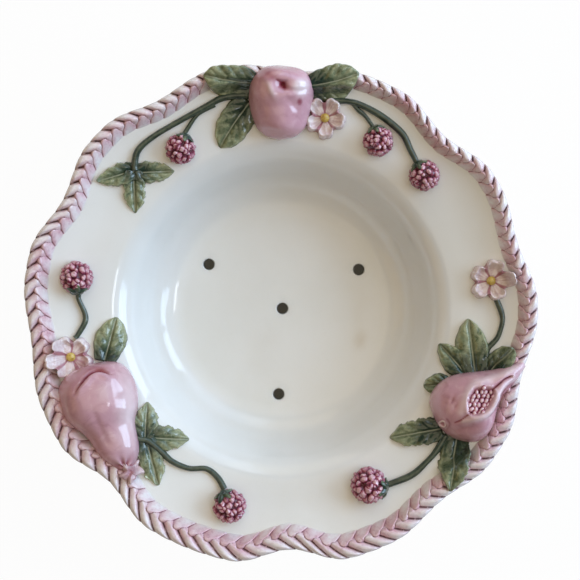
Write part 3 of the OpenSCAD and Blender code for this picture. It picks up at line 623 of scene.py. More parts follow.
def plait(mat):
    """A moulded flat plait: two rows of slanted strips, each tucked under the next of the other row."""
    rows = STRIPS * STRIP_STEPS
    cols = PLAIT_COLS + 1
    a = np.arange(rows) * 360.0 / rows
    w = plait_width(a)
    across = np.sin(np.linspace(-90, 90, cols) * RAD) * 0.35 + np.linspace(-1, 1, cols) * 0.65
    middle = edge_r(a) - w / 2
    # the strips are longer, further apart and more slanted where the plait is widest
    wide = bell(np.mod(a - 90, 360) - 180, 38)
    run = np.concatenate([[0], np.cumsum(1 - 0.15 * wide)])
    along = (run[:-1] / run[-1] * STRIPS)[:, None]
    pitch = (2 * math.pi * PLAIT_MID_R / rows * run[-1] / STRIPS / (1 - 0.15 * wide))[:, None]
    lean = 1.0 / np.tan((48 - 13 * wide) * RAD)[:, None]
    spine = (-(0.09 + 0.04 * wide) * w)[:, None]
    bulge = np.ones((rows, cols))
    for _ in range(2):
        v = across[None, :] * (w / 2)[:, None] * bulge
        f_out = np.mod(along - (v - spine) * lean / pitch + 0.5, 1)
        f_in = np.mod(along + (v - spine) * lean / pitch, 1)
        f_edge = np.where(across[None, :] > 0, f_out, f_in)
        notch = bell(np.minimum(f_edge, 1 - f_edge), 0.11)
        bulge = 1 - 0.05 * notch * np.clip(-across[None, :] * 2 - 1, 0, 1)
    id_out = np.floor(along - (v - spine) * lean / pitch + 0.5).astype(int)
    id_in = np.floor(along + (v - spine) * lean / pitch).astype(int)

    def strip(f, inward):
        crown = (1 - np.abs(2 * f - 1) ** 2.4) ** 0.8
        sunk = ease(inward / 3.0)
        return 0.46 + 0.40 * crown + 0.14 * (2 * f - 1) - 0.55 * sunk * (1 - 0.25 * f)

    h_out = strip(f_out, spine - v - 0.2)
    h_in = strip(f_in, v - spine - 0.2)
    top_out = h_out > h_in
    high = np.maximum(h_out, h_in)
    f = np.where(top_out, f_out, f_in)
    side_gap = np.minimum(f, 1 - f) * pitch * 0.70
    cross_gap = np.abs(h_out - h_in) * 6.0
    gap = np.minimum(side_gap, cross_gap * 1.4)
    groove = bell(gap, 0.36)
    # rounded down to the flange at both edges
    d = (1 - np.abs(across))[None, :] * (w / 2)[:, None]
    roll = np.where(across[None, :] > 0, np.sqrt(np.clip(1 - (1 - np.clip(d / 3.6, 0, 1)) ** 2.2, 0, 1)),
                    ease(d / 4.6) ** 0.7)
    h = (high - 0.13 * groove) * roll * PLAIT_H
    r = middle[:, None] + v
    ang = a[:, None] * RAD
    x, y = r * np.cos(ang), r * np.sin(ang)
    z = surface_z(r) + h - 0.35 * (1 - roll)
    z += 0.14 * waves(np.stack([x, y, z], -1).reshape(-1, 3), 7, 31).reshape(z.shape) * roll
    # the outer side goes down past the edge of the clay and turns in under it
    edge = r[:, -1:]
    drop_r = np.concatenate([edge + 0.05, edge - 0.15, edge - 0.8, edge - 2.2], 1)
    drop_z = surface_z(edge) + np.array([[-1.0, -2.2, -3.1, -3.6]])
    low_r = r[:, :1] - 0.1
    low_z = surface_z(low_r) - 1.2
    R = np.concatenate([low_r, r, drop_r], 1)
    Z = np.concatenate([low_z, z, drop_z], 1)
    A = np.broadcast_to(ang, R.shape)
    verts = np.stack([R * np.cos(A), R * np.sin(A), Z], -1)

    def pad(q, low, high):
        return np.concatenate([np.full((rows, 1), low), q, np.full((rows, 4), high)], 1)

    groove = pad(groove, 0.4, 0.35)
    # 0 at the spine, 1 at the plait's edges
    side_w = w[:, None] / 2 + np.where(v > spine, -spine, spine)
    reach = pad(np.clip(np.abs(v - spine) / side_w, 0, 1), 1.0, 1.0)
    crown = pad(1 - np.abs(2 * f - 1), 0.5, 0.5)
    owner = np.where(top_out, np.mod(-id_out, 3), np.mod(1 - id_in, 3))
    owner = np.concatenate([owner[:, :1], owner, np.repeat(owner[:, -1:], 4, 1)], 1)
    outer = pad(top_out.astype(float), 0.0, 1.0)
    shade = np.random.default_rng(4).uniform(0, 1, 4 * STRIPS)
    tone = shade[np.where(top_out, np.mod(id_out, STRIPS), STRIPS + np.mod(id_in, STRIPS))]
    tone = pad(tone, 0.5, 0.5)
    total = R.shape[1]
    quads = np.array(grid_faces(rows, total, wrap_rows=True))
    flat = verts.reshape(-1, 3)
    own = owner.ravel()
    first = own[quads[:, 0]]
    extra = {"groove": groove.ravel(), "reach": reach.ravel(), "outer": outer.ravel(), "tone": tone.ravel(),
             "crown": crown.ravel()}
    for k in range(3):
        mine = quads[first == k]
        used, index = np.unique(mine, return_inverse=True)
        make(f"plait_roll_{k + 1}", flat[used], index.reshape(mine.shape)[:, ::-1], mat,
             f"plait_strand_{k + 1}", {key: val[used] for key, val in extra.items()})


# Places read off the photograph
def photo_px(verts):
    """Where points land in a 580 by 580 picture from the scene's camera."""
    k = PX_FOCAL / (CAM_Z - verts[:, 2])
    return np.stack([PX_MID + (verts[:, 0] - CAM_X) * k, PX_MID - (verts[:, 1] - CAM_Y) * k], -1)


def from_px(px, py, z=60.0):
    k = (CAM_Z - z) / PX_FOCAL
    return np.array([CAM_X + (px - PX_MID) * k, CAM_Y - (py - PX_MID) * k])


def line_gap(p, pts):
    """Distance of points from a line of several steps, how far along they are, and on which side."""
    best = np.full(len(p), 1e9)
    share, side = np.zeros(len(p)), np.zeros(len(p))
    pts = np.array(pts, float)
    lens = np.hypot(*(pts[1:] - pts[:-1]).T)
    run = np.concatenate([[0], np.cumsum(lens)])
    for i, (a, b) in enumerate(zip(pts[:-1], pts[1:])):
        d = b - a
        t = np.clip((p - a) @ d / (d @ d), 0, 1)
        q = p - a - t[:, None] * d
        g = np.hypot(q[:, 0], q[:, 1])
        near = g < best
        best = np.where(near, g, best)
        share = np.where(near, (run[i] + t * lens[i]) / run[-1], share)
        side = np.where(near, np.sign(d[0] * q[:, 1] - d[1] * q[:, 0]), side)
    return best, share, side


def inside_gap(p, ring):
    """Distance from a closed outline, positive inside it."""
    ring = np.array(ring, float)
    best, _, _ = line_gap(p, np.concatenate([ring, ring[:1]]))
    inside = np.zeros(len(p), bool)
    for a, b in zip(ring, np.roll(ring, -1, 0)):
        cross = (a[1] > p[:, 1]) != (b[1] > p[:, 1])
        at = (b[0] - a[0]) * (p[:, 1] - a[1]) / (b[1] - a[1] + 1e-12) + a[0]
        inside ^= cross & (p[:, 0] < at)
    return np.where(inside, best, -best)


def smooth_path(points, per=8):
    """A curve through the points."""
    p = np.array(points, float)
    p = np.concatenate([[2 * p[0] - p[1]], p, [2 * p[-1] - p[-2]]])
    out = []
    for i in range(1, len(p) - 2):
        for s in np.arange(per) / per:
            out.append(0.5 * ((2 * p[i]) + (-p[i - 1] + p[i + 1]) * s
                              + (2 * p[i - 1] - 5 * p[i] + 4 * p[i + 1] - p[i + 2]) * s**2
                              + (-p[i - 1] + 3 * p[i] - 3 * p[i + 1] + p[i + 2]) * s**3))
    out.append(p[-2])
    return np.array(out)


def normals_of(grid, wrap_cols=True):
    """Outward directions on a grid of points whose columns go round."""
    du = np.gradient(grid, axis=0)
    dv = (np.roll(grid, -1, 1) - np.roll(grid, 1, 1)) / 2 if wrap_cols else np.gradient(grid, axis=1)
    n = np.cross(dv, du)
    return n / np.maximum(np.linalg.norm(n, axis=-1, keepdims=True), 1e-9)


# Glazes of the fruit and leaves
def fruit_glaze():
    m, nt, s = glaze("fruit_glaze")
    dark, pale = attribute(nt, "dark"), attribute(nt, "pale")
    brush = noise_node(nt, 150, 4, 0.6, 0.8)
    patch = noise_node(nt, 45, 3, 0.5)
    body = ramp(nt, brush, [(0.3, (0.49, 0.245, 0.285)), (0.5, (0.585, 0.32, 0.37)),
                            (0.72, (0.68, 0.43, 0.475))])
    body = mix(nt, span(nt, patch, 0.35, 0.68, 0.0, 0.5), body, (0.70, 0.41, 0.50))
    # the pale values hold pale glaze and painted highlights and reflections; the dark values hold crimson
    # paint and painted shade
    body = mix(nt, pale, body, (0.85, 0.70, 0.73))
    body = mix(nt, calc(nt, "POWER", dark, 1.2), body, (0.27, 0.035, 0.06))
    rough_from(nt, s, patch, 0.09, 0.15)
    return finish(m, body, [(patch, 0.45), (brush, 0.12)], 0.0003)


def leaf_glaze():
    m, nt, s = glaze("leaf_glaze")
    along, vein, rim = attribute(nt, "along"), attribute(nt, "vein"), attribute(nt, "rim")
    brush = noise_node(nt, 330, 4, 0.6, 1.0)
    patch = noise_node(nt, 90, 3, 0.55)
    mid = ramp(nt, brush, [(0.32, (0.075, 0.11, 0.06)), (0.5, (0.175, 0.21, 0.118)),
                           (0.7, (0.31, 0.34, 0.20))])
    tip = ramp(nt, brush, [(0.3, (0.22, 0.25, 0.13)), (0.55, (0.37, 0.39, 0.225)),
                           (0.75, (0.52, 0.54, 0.36))])
    base = ramp(nt, brush, [(0.3, (0.012, 0.028, 0.02)), (0.7, (0.045, 0.078, 0.05))])
    where = swayed(nt, along, patch, 0.7)
    body = mix(nt, span(nt, where, 0.16, 0.5), base, mid)
    body = mix(nt, calc(nt, "MULTIPLY", span(nt, where, 0.42, 0.95), 0.9), body, tip)
    body = mix(nt, calc(nt, "MULTIPLY", rim, span(nt, along, 0.1, 0.5, 0.1, 0.75)), body, tip)
    shade = calc(nt, "MULTIPLY", attribute(nt, "hollow"), 0.62)
    body = mix(nt, shade, body, (0.02, 0.042, 0.026))
    body = mix(nt, calc(nt, "MULTIPLY", vein, 0.6), body, (0.47, 0.50, 0.36))
    rough_from(nt, s, patch, 0.09, 0.17)
    return finish(m, body, [(brush, 0.3), (patch, 0.35)], 0.0003)


def stem_glaze():
    m, nt, s = glaze("stem_glaze")
    brush = noise_node(nt, 260, 4, 0.6, 0.5)
    body = ramp(nt, brush, [(0.3, (0.026, 0.042, 0.03)), (0.6, (0.06, 0.082, 0.055)),
                            (0.8, (0.12, 0.15, 0.095))])
    rough_from(nt, s, brush, 0.12, 0.22)
    return finish(m, body, [(brush, 0.35)], 0.0003)


def berry_glaze():
    m, nt, s = glaze("berry_glaze")
    crease, tone = attribute(nt, "crease"), attribute(nt, "tone")
    brush = noise_node(nt, 500, 4, 0.65, 0.8)
    # painted shade: the crease values darken the creases between drupelets
    value = swayed(nt, crease, brush, 1.0)
    body = ramp(nt, value, [(0.0, (0.74, 0.46, 0.51)), (0.2, (0.50, 0.17, 0.235)),
                            (0.45, (0.26, 0.035, 0.08)), (0.8, (0.08, 0.006, 0.02))])
    # painted shade: darker towards the berry's bottom
    body = mix(nt, span(nt, tone, 0.0, 1.0, 0.0, 0.5), body, (0.25, 0.035, 0.085))
    rough_from(nt, s, brush, 0.1, 0.2)
    return finish(m, body, [(brush, 0.3)], 0.0002)


def petal_glaze():
    m, nt, s = glaze("petal_glaze")
    rosy = attribute(nt, "rosy")
    brush = noise_node(nt, 380, 4, 0.6, 0.8)
    patch = noise_node(nt, 120, 2, 0.5)
    body = ramp(nt, brush, [(0.3, (0.67, 0.50, 0.515)), (0.55, (0.80, 0.68, 0.675)),
                            (0.75, (0.88, 0.82, 0.80))])
    value = swayed(nt, rosy, patch, 0.5)
    body = mix(nt, span(nt, value, 0.15, 1.0), body, (0.40, 0.165, 0.20))
    rough_from(nt, s, brush, 0.1, 0.18)
    return finish(m, body, [(brush, 0.3)], 0.0002)


def yellow_glaze():
    m, nt, _ = glaze("yellow_glaze")
    brush = noise_node(nt, 500, 3, 0.6)
    body = ramp(nt, brush, [(0.3, (0.40, 0.23, 0.035)), (0.55, (0.62, 0.44, 0.09)),
                            (0.8, (0.75, 0.62, 0.25))])
    return finish(m, body, [(brush, 0.5)], 0.0003)


def seed_glaze():
    m, nt, s = glaze("seed_glaze")
    crease = attribute(nt, "crease")
    brush = noise_node(nt, 420, 3, 0.6)
    # painted shade: the crease values darken each seed's lower part
    value = swayed(nt, crease, brush, 0.7)
    body = ramp(nt, value, [(0.0, (0.86, 0.66, 0.70)), (0.25, (0.66, 0.34, 0.42)),
                            (0.55, (0.40, 0.11, 0.17)), (0.9, (0.20, 0.035, 0.07))])
    rough_from(nt, s, brush, 0.08, 0.15)
    return finish(m, body, [(brush, 0.2)], 0.0002)


# Fruit
def loft(pairs, top_z, power, rows, sides):
    """A rounded body resting on the relief between two lines of the picture, given as pairs of points."""
    pairs = np.array(pairs, float)
    left, right = smooth_path(pairs[:, :2], 16), smooth_path(pairs[:, 2:], 16)
    t = (1 - np.cos(np.linspace(0.03, math.pi - 0.03, rows))) / 2
    at = np.linspace(0, 1, len(left))
    ends = [np.stack([np.interp(t, at, q[:, 0]), np.interp(t, at, q[:, 1])], -1) for q in (left, right)]

    def ground(px):
        z = np.full(len(px), 60.0)
        for _ in range(3):
            z = rest_z(*from_px(px[:, 0], px[:, 1], z), ramp=4.0)
        return np.convolve(np.pad(z, 7, "edge"), np.ones(15) / 15, "valid")

    low = [ground(q) for q in ends]
    mid_z = (low[0] + low[1]) / 2
    mid_z = mid_z.mean() + 0.7 * (mid_z - mid_z.mean())
    tilt = 0.3 * (low[1] - low[0])
    wide = np.hypot(*(ends[1] - ends[0]).T) / 2
    k = wide.argmax()
    tall = math.sqrt((top_z - mid_z[k]) ** 2 - tilt[k] ** 2) * (wide / wide.max()) ** power
    turn = round_steps(sides)
    z = mid_z[:, None] + tilt[:, None] * np.cos(turn) \
        + np.where(np.sin(turn) > 0, tall[:, None], np.minimum(tall, 2.5)[:, None]) * np.sin(turn)
    mid, half = (ends[0] + ends[1]) / 2, (ends[1] - ends[0]) / 2
    px = mid[:, None, :] + half[:, None, :] * np.cos(turn)[None, :, None]
    xy = from_px(px[..., 0], px[..., 1], z)
    return np.stack([xy[0], xy[1], z], -1)


def fruit_skin(grid, steep):
    """A fruit's points, outward directions, places in the picture and how far they face up."""
    flat, out = grid.reshape(-1, 3), normals_of(grid).reshape(-1, 3)
    if ((flat - flat.mean(0)) * out).sum() < 0:
        out = -out
    return flat, out, photo_px(flat), np.clip(out[:, 2] * steep, 0, 1)


def fruit_piece(node, mat, flat, size, dark, pale, shade=0.35, reach=1.2):
    """A fruit with its painted values, and painted shade round its foot where it meets the bowl."""
    foot = flat[:, 2] - surface_z(np.hypot(flat[:, 0], flat[:, 1]))
    # painted shade: darker where the fruit sits close to the bowl
    dark = dark + shade * np.exp(-np.clip(foot, 0, None) / reach)
    make(f"{node}_body", settle(flat), grid_faces(*size, wrap_cols=True), mat, node,
         {"dark": np.clip(dark, 0, 1), "pale": np.clip(pale, 0, 1)}, merge=0.001)


def apple(mat):
    pairs = [(277, 65, 277, 65), (268, 66, 286, 65.7), (262, 68.6, 295, 67.5), (256.7, 74.2, 304.5, 72.5),
             (252.5, 80, 310, 79), (249.7, 88.3, 313, 88), (248.7, 100, 313.7, 98),
             (250.8, 111.7, 311.5, 109), (253.5, 120, 308.6, 118), (256.7, 128.3, 305.5, 127),
             (261, 132.8, 300, 133.3), (267, 137, 292, 137.8), (279, 140, 279, 140)]
    rows, sides = 110, 140
    flat, nn, p, up = fruit_skin(loft(pairs, 71.5, 0.85, rows, sides), 2)
    dx, dy = p[:, 0] - 283.5, p[:, 1] - 86.5
    d = np.hypot(dx, dy * 1.1)
    dent = -3.4 * blob(p, 284, 82, 12, 9.5) - 3.0 * bell(d, 3.6)
    g0, s0, _ = line_gap(p, smooth_path([(264, 79), (268.5, 84), (272, 92), (276, 100)]))
    ridge = 0.9 * bell(g0, 3.2) * arch(s0, 0.08)
    g1, s1, _ = line_gap(p, [(286, 89), (293, 90.5), (301, 91), (309, 89)])
    crease = -1.2 * bell(g1, 2.6) * (1 - 0.8 * s1)
    g2, s2, _ = line_gap(p, [(281, 84), (275, 78), (269, 73)])
    crease -= 1.0 * bell(g2, 3.6) * (1 - s2)
    g3, s3, _ = line_gap(p, smooth_path([(283, 92), (288, 99), (296, 106), (301, 116)]))
    crease -= 0.45 * bell(g3, 4.0) * arch(s3, 0.05)
    lump = 0.6 * waves(flat, 17, 77) + 0.25 * waves(flat, 8, 78)
    flat = flat + nn * ((dent + ridge + crease) * up + lump * np.clip(up + 0.3, 0, 1))[:, None]
    dark = np.clip(bell(np.hypot(dx / 4.2, (dy + 0.5) / 4.6), 1.0) * up
                   + 0.4 * blob(p, 282, 80, 8, 7) * up
                   + 0.5 * bell(g2, 4.5) * up
                   + 0.42 * blob(p, 263, 76, 9, 7) * up
                   + 0.5 * bell(g1, 2.2) * (1 - s1) * up
                   + 0.85 * np.exp(-np.hypot((p[:, 0] - 301) / 2.6, (p[:, 1] - 102.5) / 3.6) ** 4) * up, 0, 1)
    pale = 0.7 * bell(g0, 2.6) * arch(s0, 0.08) * up
    # painted highlight: a pale patch on the apple's right side
    pale = pale + 1.0 * np.exp(-(np.hypot((p[:, 0] - 302) / 7.5, (p[:, 1] - 87) / 10)) ** 4) * up
    fruit_piece("apple", mat, flat, (rows, sides), dark, pale, 0.4, 1.1)


def pear(mat):
    pairs = [(96, 362.3, 96, 362.3), (83, 366.2, 109, 361), (72, 371.5, 119.5, 362.6),
             (64, 378, 127.3, 368.3), (59.6, 386, 133.2, 377.3), (58.2, 396, 136.8, 387),
             (59.5, 406, 138.4, 398), (62.5, 415, 138, 408), (69, 424, 136.2, 415),
             (77.5, 430.5, 135.2, 421.5), (86, 437, 136.2, 429), (92, 444, 138, 438),
             (96.5, 451.5, 139.2, 448), (101.5, 458.5, 138.2, 456), (108, 464.5, 135, 463),
             (115.5, 469.2, 130.3, 468), (124, 470.8, 124, 470.8)]
    rows, sides = 150, 150
    flat, nn, p, up = fruit_skin(loft(pairs, 72.5, 0.9, rows, sides), 2.5)
    crease = smooth_path([(74.3, 394), (77.5, 387.5), (83, 381), (89.5, 374.5), (97, 371.2), (104, 371.6),
                          (111.5, 374.5)])
    g, s, side = line_gap(p, crease)
    soft = arch(s, 0.015) ** 0.45
    upper = side > 0
    move = -2.3 * bell(g, 1.25) * soft
    move += soft * np.where(upper, 1.5 * bell(g - 3.6, 3.0), 0.5 * bell(g - 6.5, 4.0))
    # the gathered end where the dried flower sat
    end = np.array([126.0, 469.0])
    rel = p - end
    rays = np.cos(np.arctan2(rel[:, 1], rel[:, 0]) * 8 + 0.6)
    near = bell(np.hypot(rel[:, 0], rel[:, 1]), 11.0)
    move += near * (0.75 * rays - 0.7)
    move += 0.5 * waves(flat, 24, 41) + 0.2 * waves(flat, 9, 43)
    g3, s3, _ = line_gap(p, [(88, 404), (100, 428), (112, 452)])
    move += -0.45 * bell(g3, 4.0) * np.sin(s3 * math.pi)
    flat = flat + nn * (move * up)[:, None]
    # painted shade: the crease and the softer band below its overhanging side are darkened
    dark = 1.0 * bell(g, 1.05) * soft
    dark += np.where(upper, 0.25 * bell(g, 2.5), 0.6 * bell(g, 7.0)) * soft
    dark += near * (0.8 - 0.35 * rays)
    dark += 0.4 * blob(p, 101, 370, 6, 3.0)
    # painted reflection down the pear's right flank, and a painted highlight near its top
    pale = 0.75 * blob(p, 129, 408, 12, 46) * up
    pale = pale + 0.35 * blob(p, 105, 392, 8, 10) * up
    fruit_piece("pear", mat, flat, (rows, sides), dark, pale)


def pear_stub(mat):
    """The dried flower at the pear's end, a small star pressed on the plait."""
    centre = from_px(130.0, 472.5, 64)
    rows, sides = 14, 84
    t = round_steps(sides)
    star = 1 + 0.2 * np.cos(5 * t + 0.9) - 0.1 * np.cos(10 * t) + 0.08 * np.cos(3 * t)
    verts, rosy = [], []
    for i in range(rows):
        s = i / (rows - 1)
        r = 4.9 * star * math.sin(s * math.pi / 2)
        x, y = centre[0] + r * np.cos(t), centre[1] + r * np.sin(t)
        h = 2.3 * math.cos(s * math.pi / 2) ** 0.6 + 0.5 * np.cos(5 * t + 0.9) * s * (1 - s) * 4
        h = h - 1.5 * bell(s, 0.16)
        z = rest_z(x, y, ramp=1.5) + h - (0.9 if i == rows - 1 else 0.0)
        verts.append(np.stack([x, y, z], -1))
        rosy.append(0.45 + 0.55 * (1 - star / 1.24) * 2 * s + 0.5 * bell(s, 0.3))
    make_rings("pear_stub", verts, mat, "pear_calyx",
               {"rosy": np.concatenate(rosy)}, merge=0.001)


SEED_RING = [(474.5, 388.6), (480, 387.3), (486, 387.6), (492.5, 388.2), (494.6, 392), (493.4, 399),
             (490.5, 406.5), (486, 411.8), (479, 415), (472, 415.6), (468.3, 412.5), (467.8, 404),
             (469.6, 395.5)]


def pomegranate(mat, seeds_mat, pink):
    pairs = [(429, 403, 429, 403), (430.2, 396, 431.5, 412), (433.5, 389, 435.5, 421),
             (439.5, 382.3, 441.5, 429.3), (448, 376.8, 449.5, 436), (457.5, 373.8, 460, 440.5),
             (467, 372.3, 472, 442), (477, 371.2, 482.3, 438.3), (486, 370.3, 490, 430.5),
             (494, 369.2, 494.6, 420.5), (501, 367.6, 497.4, 410), (507, 365.9, 501.2, 400.7),
             (512, 364.4, 506.3, 393), (516.5, 363, 511.4, 386.5), (520.5, 362, 516.4, 379.7),
             (523.7, 362.3, 520.4, 373.7), (525, 366.5, 525, 366.5)]
    rows, sides = 150, 180
    flat, nn, p, up = fruit_skin(loft(pairs, 73.5, 0.9, rows, sides), 2.2)
    ring = smooth_path(SEED_RING + [SEED_RING[0]], 5)[:-1]
    inside = inside_gap(p, ring)
    flap = smooth_path([(513, 378), (505, 384.5), (499, 391.5), (496, 401), (491.5, 410.5), (484, 416.5),
                        (474, 419.5), (463, 421.5)])
    gf, sf, _ = line_gap(p, flap)
    brim = smooth_path([(511, 370.5), (498, 376), (486, 380.5), (474, 384.5), (467, 394), (463.5, 404),
                        (461, 413)])
    gb, sb, _ = line_gap(p, brim)
    slit = smooth_path([(492.5, 389), (497.5, 384.5), (503.5, 380), (511.5, 377)])
    gs, _, _ = line_gap(p, slit)
    tail = smooth_path([(469, 414.5), (464, 418), (460, 421), (455, 423)])
    gt, st, _ = line_gap(p, tail)
    lip = bell(inside + 1.3, 1.4)
    move = -3.6 * ease((inside + 0.4) / 1.6)
    move += 0.5 * lip
    move += 1.6 * bell(gf, 2.7) * arch(sf, 0.03) ** 0.5 * (inside < 0.4)
    move += 0.8 * bell(gb, 4.0) * arch(sb, 0.03) ** 0.5 * (inside < 0.4)
    move -= 2.2 * bell(gs, 1.2) + 1.2 * bell(gt, 1.0) * (1 - 0.6 * st)
    groove = smooth_path([(516, 381), (508, 389), (503.5, 398), (501, 409), (497, 419)])
    gg, sg, _ = line_gap(p, groove)
    move -= 1.0 * bell(gg, 2.2) * arch(sg, 0.05)
    strokes = np.zeros(len(p))
    marks = [((455, 395), (450, 405), 0.9), ((457, 403), (452.5, 411), 0.7), ((446, 401), (444.5, 406), 0.4)]
    for a, b, k in marks:
        q, t, _ = line_gap(p, [a, b])
        strokes += k * bell(q, 1.7) * arch(t, 0.1)
    move -= 0.7 * strokes
    fold, fs, _ = line_gap(p, smooth_path([(449, 432), (461, 429), (475, 427.5), (487, 421)]))
    move -= 0.7 * bell(fold, 3.0) * arch(fs, 0.05)
    move += 0.5 * waves(flat, 20, 9) + 0.2 * waves(flat, 8, 10)
    flat = flat + nn * (move * up)[:, None]
    dark = 1.0 * ease((inside + 0.2) / 1.0) + 1.0 * bell(gs, 1.1) + 0.95 * bell(gt, 0.95)
    # the strokes are painted marks; the groove beside the lower flap gets painted shade
    dark += 0.55 * strokes + 0.45 * bell(gg, 2.6) * arch(sg, 0.05)
    dark += 0.25 * bell(fold, 3.5) * arch(fs, 0.05)
    q, _, _ = line_gap(p, smooth_path([(446.5, 419.5), (449.5, 424.5), (446.5, 430)]))
    dark += 0.6 * bell(q, 1.3)
    dark += 0.3 * blob(p, 514, 383, 9, 5)
    pale = 0.2 * lip * (inside < 0) + 0.6 * bell(gf, 2.2) * (inside < 0)
    pale += 0.55 * bell(gb, 3.5) * (inside < 0)
    pale += 0.5 * blob(p, 516, 366.5, 10, 6)
    pale *= up
    fruit_piece("pomegranate", mat, flat, (rows, sides), dark, pale)

    # seeds, packed in the split and resting on its floor
    rng = np.random.default_rng(12)
    verts, faces, crease = [], [], []
    spots = []
    for j in range(8):
        for i in range(8):
            q = np.array([464.5 + i * 4.7 + (j % 2) * 2.35, 387.4 + j * 4.3]) + rng.uniform(-0.6, 0.6, 2)
            if inside_gap(q[None], ring)[0] > 0.3:
                spots.append(q)
    rows, sides = 12, 20
    for q in spots:
        near = np.argsort(np.hypot(p[:, 0] - q[0], p[:, 1] - q[1]) + (nn[:, 2] < 0) * 50)[:6]
        z = flat[near, 2].mean() + 0.55 + rng.uniform(-0.2, 0.3)
        centre = np.array([*from_px(q[0], q[1], z), z])
        turn = 1.15 + rng.uniform(-0.5, 0.5)
        a_, b_ = 1.75 * rng.uniform(0.85, 1.1), 1.15 * rng.uniform(0.85, 1.1)
        start = sum(len(v) for v in verts)
        t = round_steps(sides)
        piece = []
        for i in range(rows):
            lat = (90 - 150 * i / (rows - 1)) * RAD
            x, y = a_ * math.cos(lat) * np.cos(t), b_ * math.cos(lat) * np.sin(t)
            piece.append(np.stack([x * math.cos(turn) - y * math.sin(turn),
                                   x * math.sin(turn) + y * math.cos(turn),
                                   np.full(sides, 1.5 * math.sin(lat))], -1) + centre)
            # painted shade: each seed is pale on top and darker down its sides and underneath
            crease.append(np.full(sides, np.clip(1.3 - math.sin(lat) * 1.35, 0, 1)))
        verts.append(np.concatenate(piece))
        faces += grid_faces(rows, sides, wrap_cols=True, start=start, flip=True)
    make("pomegranate_arils", np.concatenate(verts), faces, seeds_mat, "pomegranate_seeds",
         {"crease": np.concatenate(crease)})

    # ring-shaped end of the fruit, near the leaves
    z0 = 64.5
    centre = np.array([*from_px(443.3, 424.3, z0), z0])
    hit = np.argmin(np.hypot(p[:, 0] - 443.3, p[:, 1] - 424.3) + (nn[:, 2] < 0.05) * 50)
    centre[2] = flat[hit, 2]
    n_ = nn[hit] / np.linalg.norm(nn[hit])
    n_ = n_ * 0.6 + np.array([0, 0, 0.8])
    n_ /= np.linalg.norm(n_)
    e1 = np.cross(n_, [0, 1, 0])
    e1 /= np.linalg.norm(e1)
    e2 = np.cross(n_, e1)
    t = round_steps(40)
    prof = [(0.0, 0.1), (0.6, 0.15), (1.0, 0.4), (1.4, 0.7), (1.75, 0.65), (2.05, 0.3), (2.15, -0.4),
            (2.0, -1.4)]
    round_way = np.cos(t)[:, None] * e1 + np.sin(t)[:, None] * e2
    uneven = (1 + 0.08 * np.cos(3 * t))[:, None]
    ringv = [centre + round_way * r * uneven + n_ * h for r, h in prof]
    rosy = np.concatenate([np.full(40, v) for v in (1.0, 0.95, 0.8, 0.5, 0.5, 0.7, 1.0, 1.0)])
    make_rings("pomegranate_button", ringv, pink, "pomegranate_crown",
               {"rosy": rosy}, merge=0.001)


# Leaves
LEAF_OUTLINE = [0.62, 0.88, 1, 1, 0.88, 0.64, 0.32]


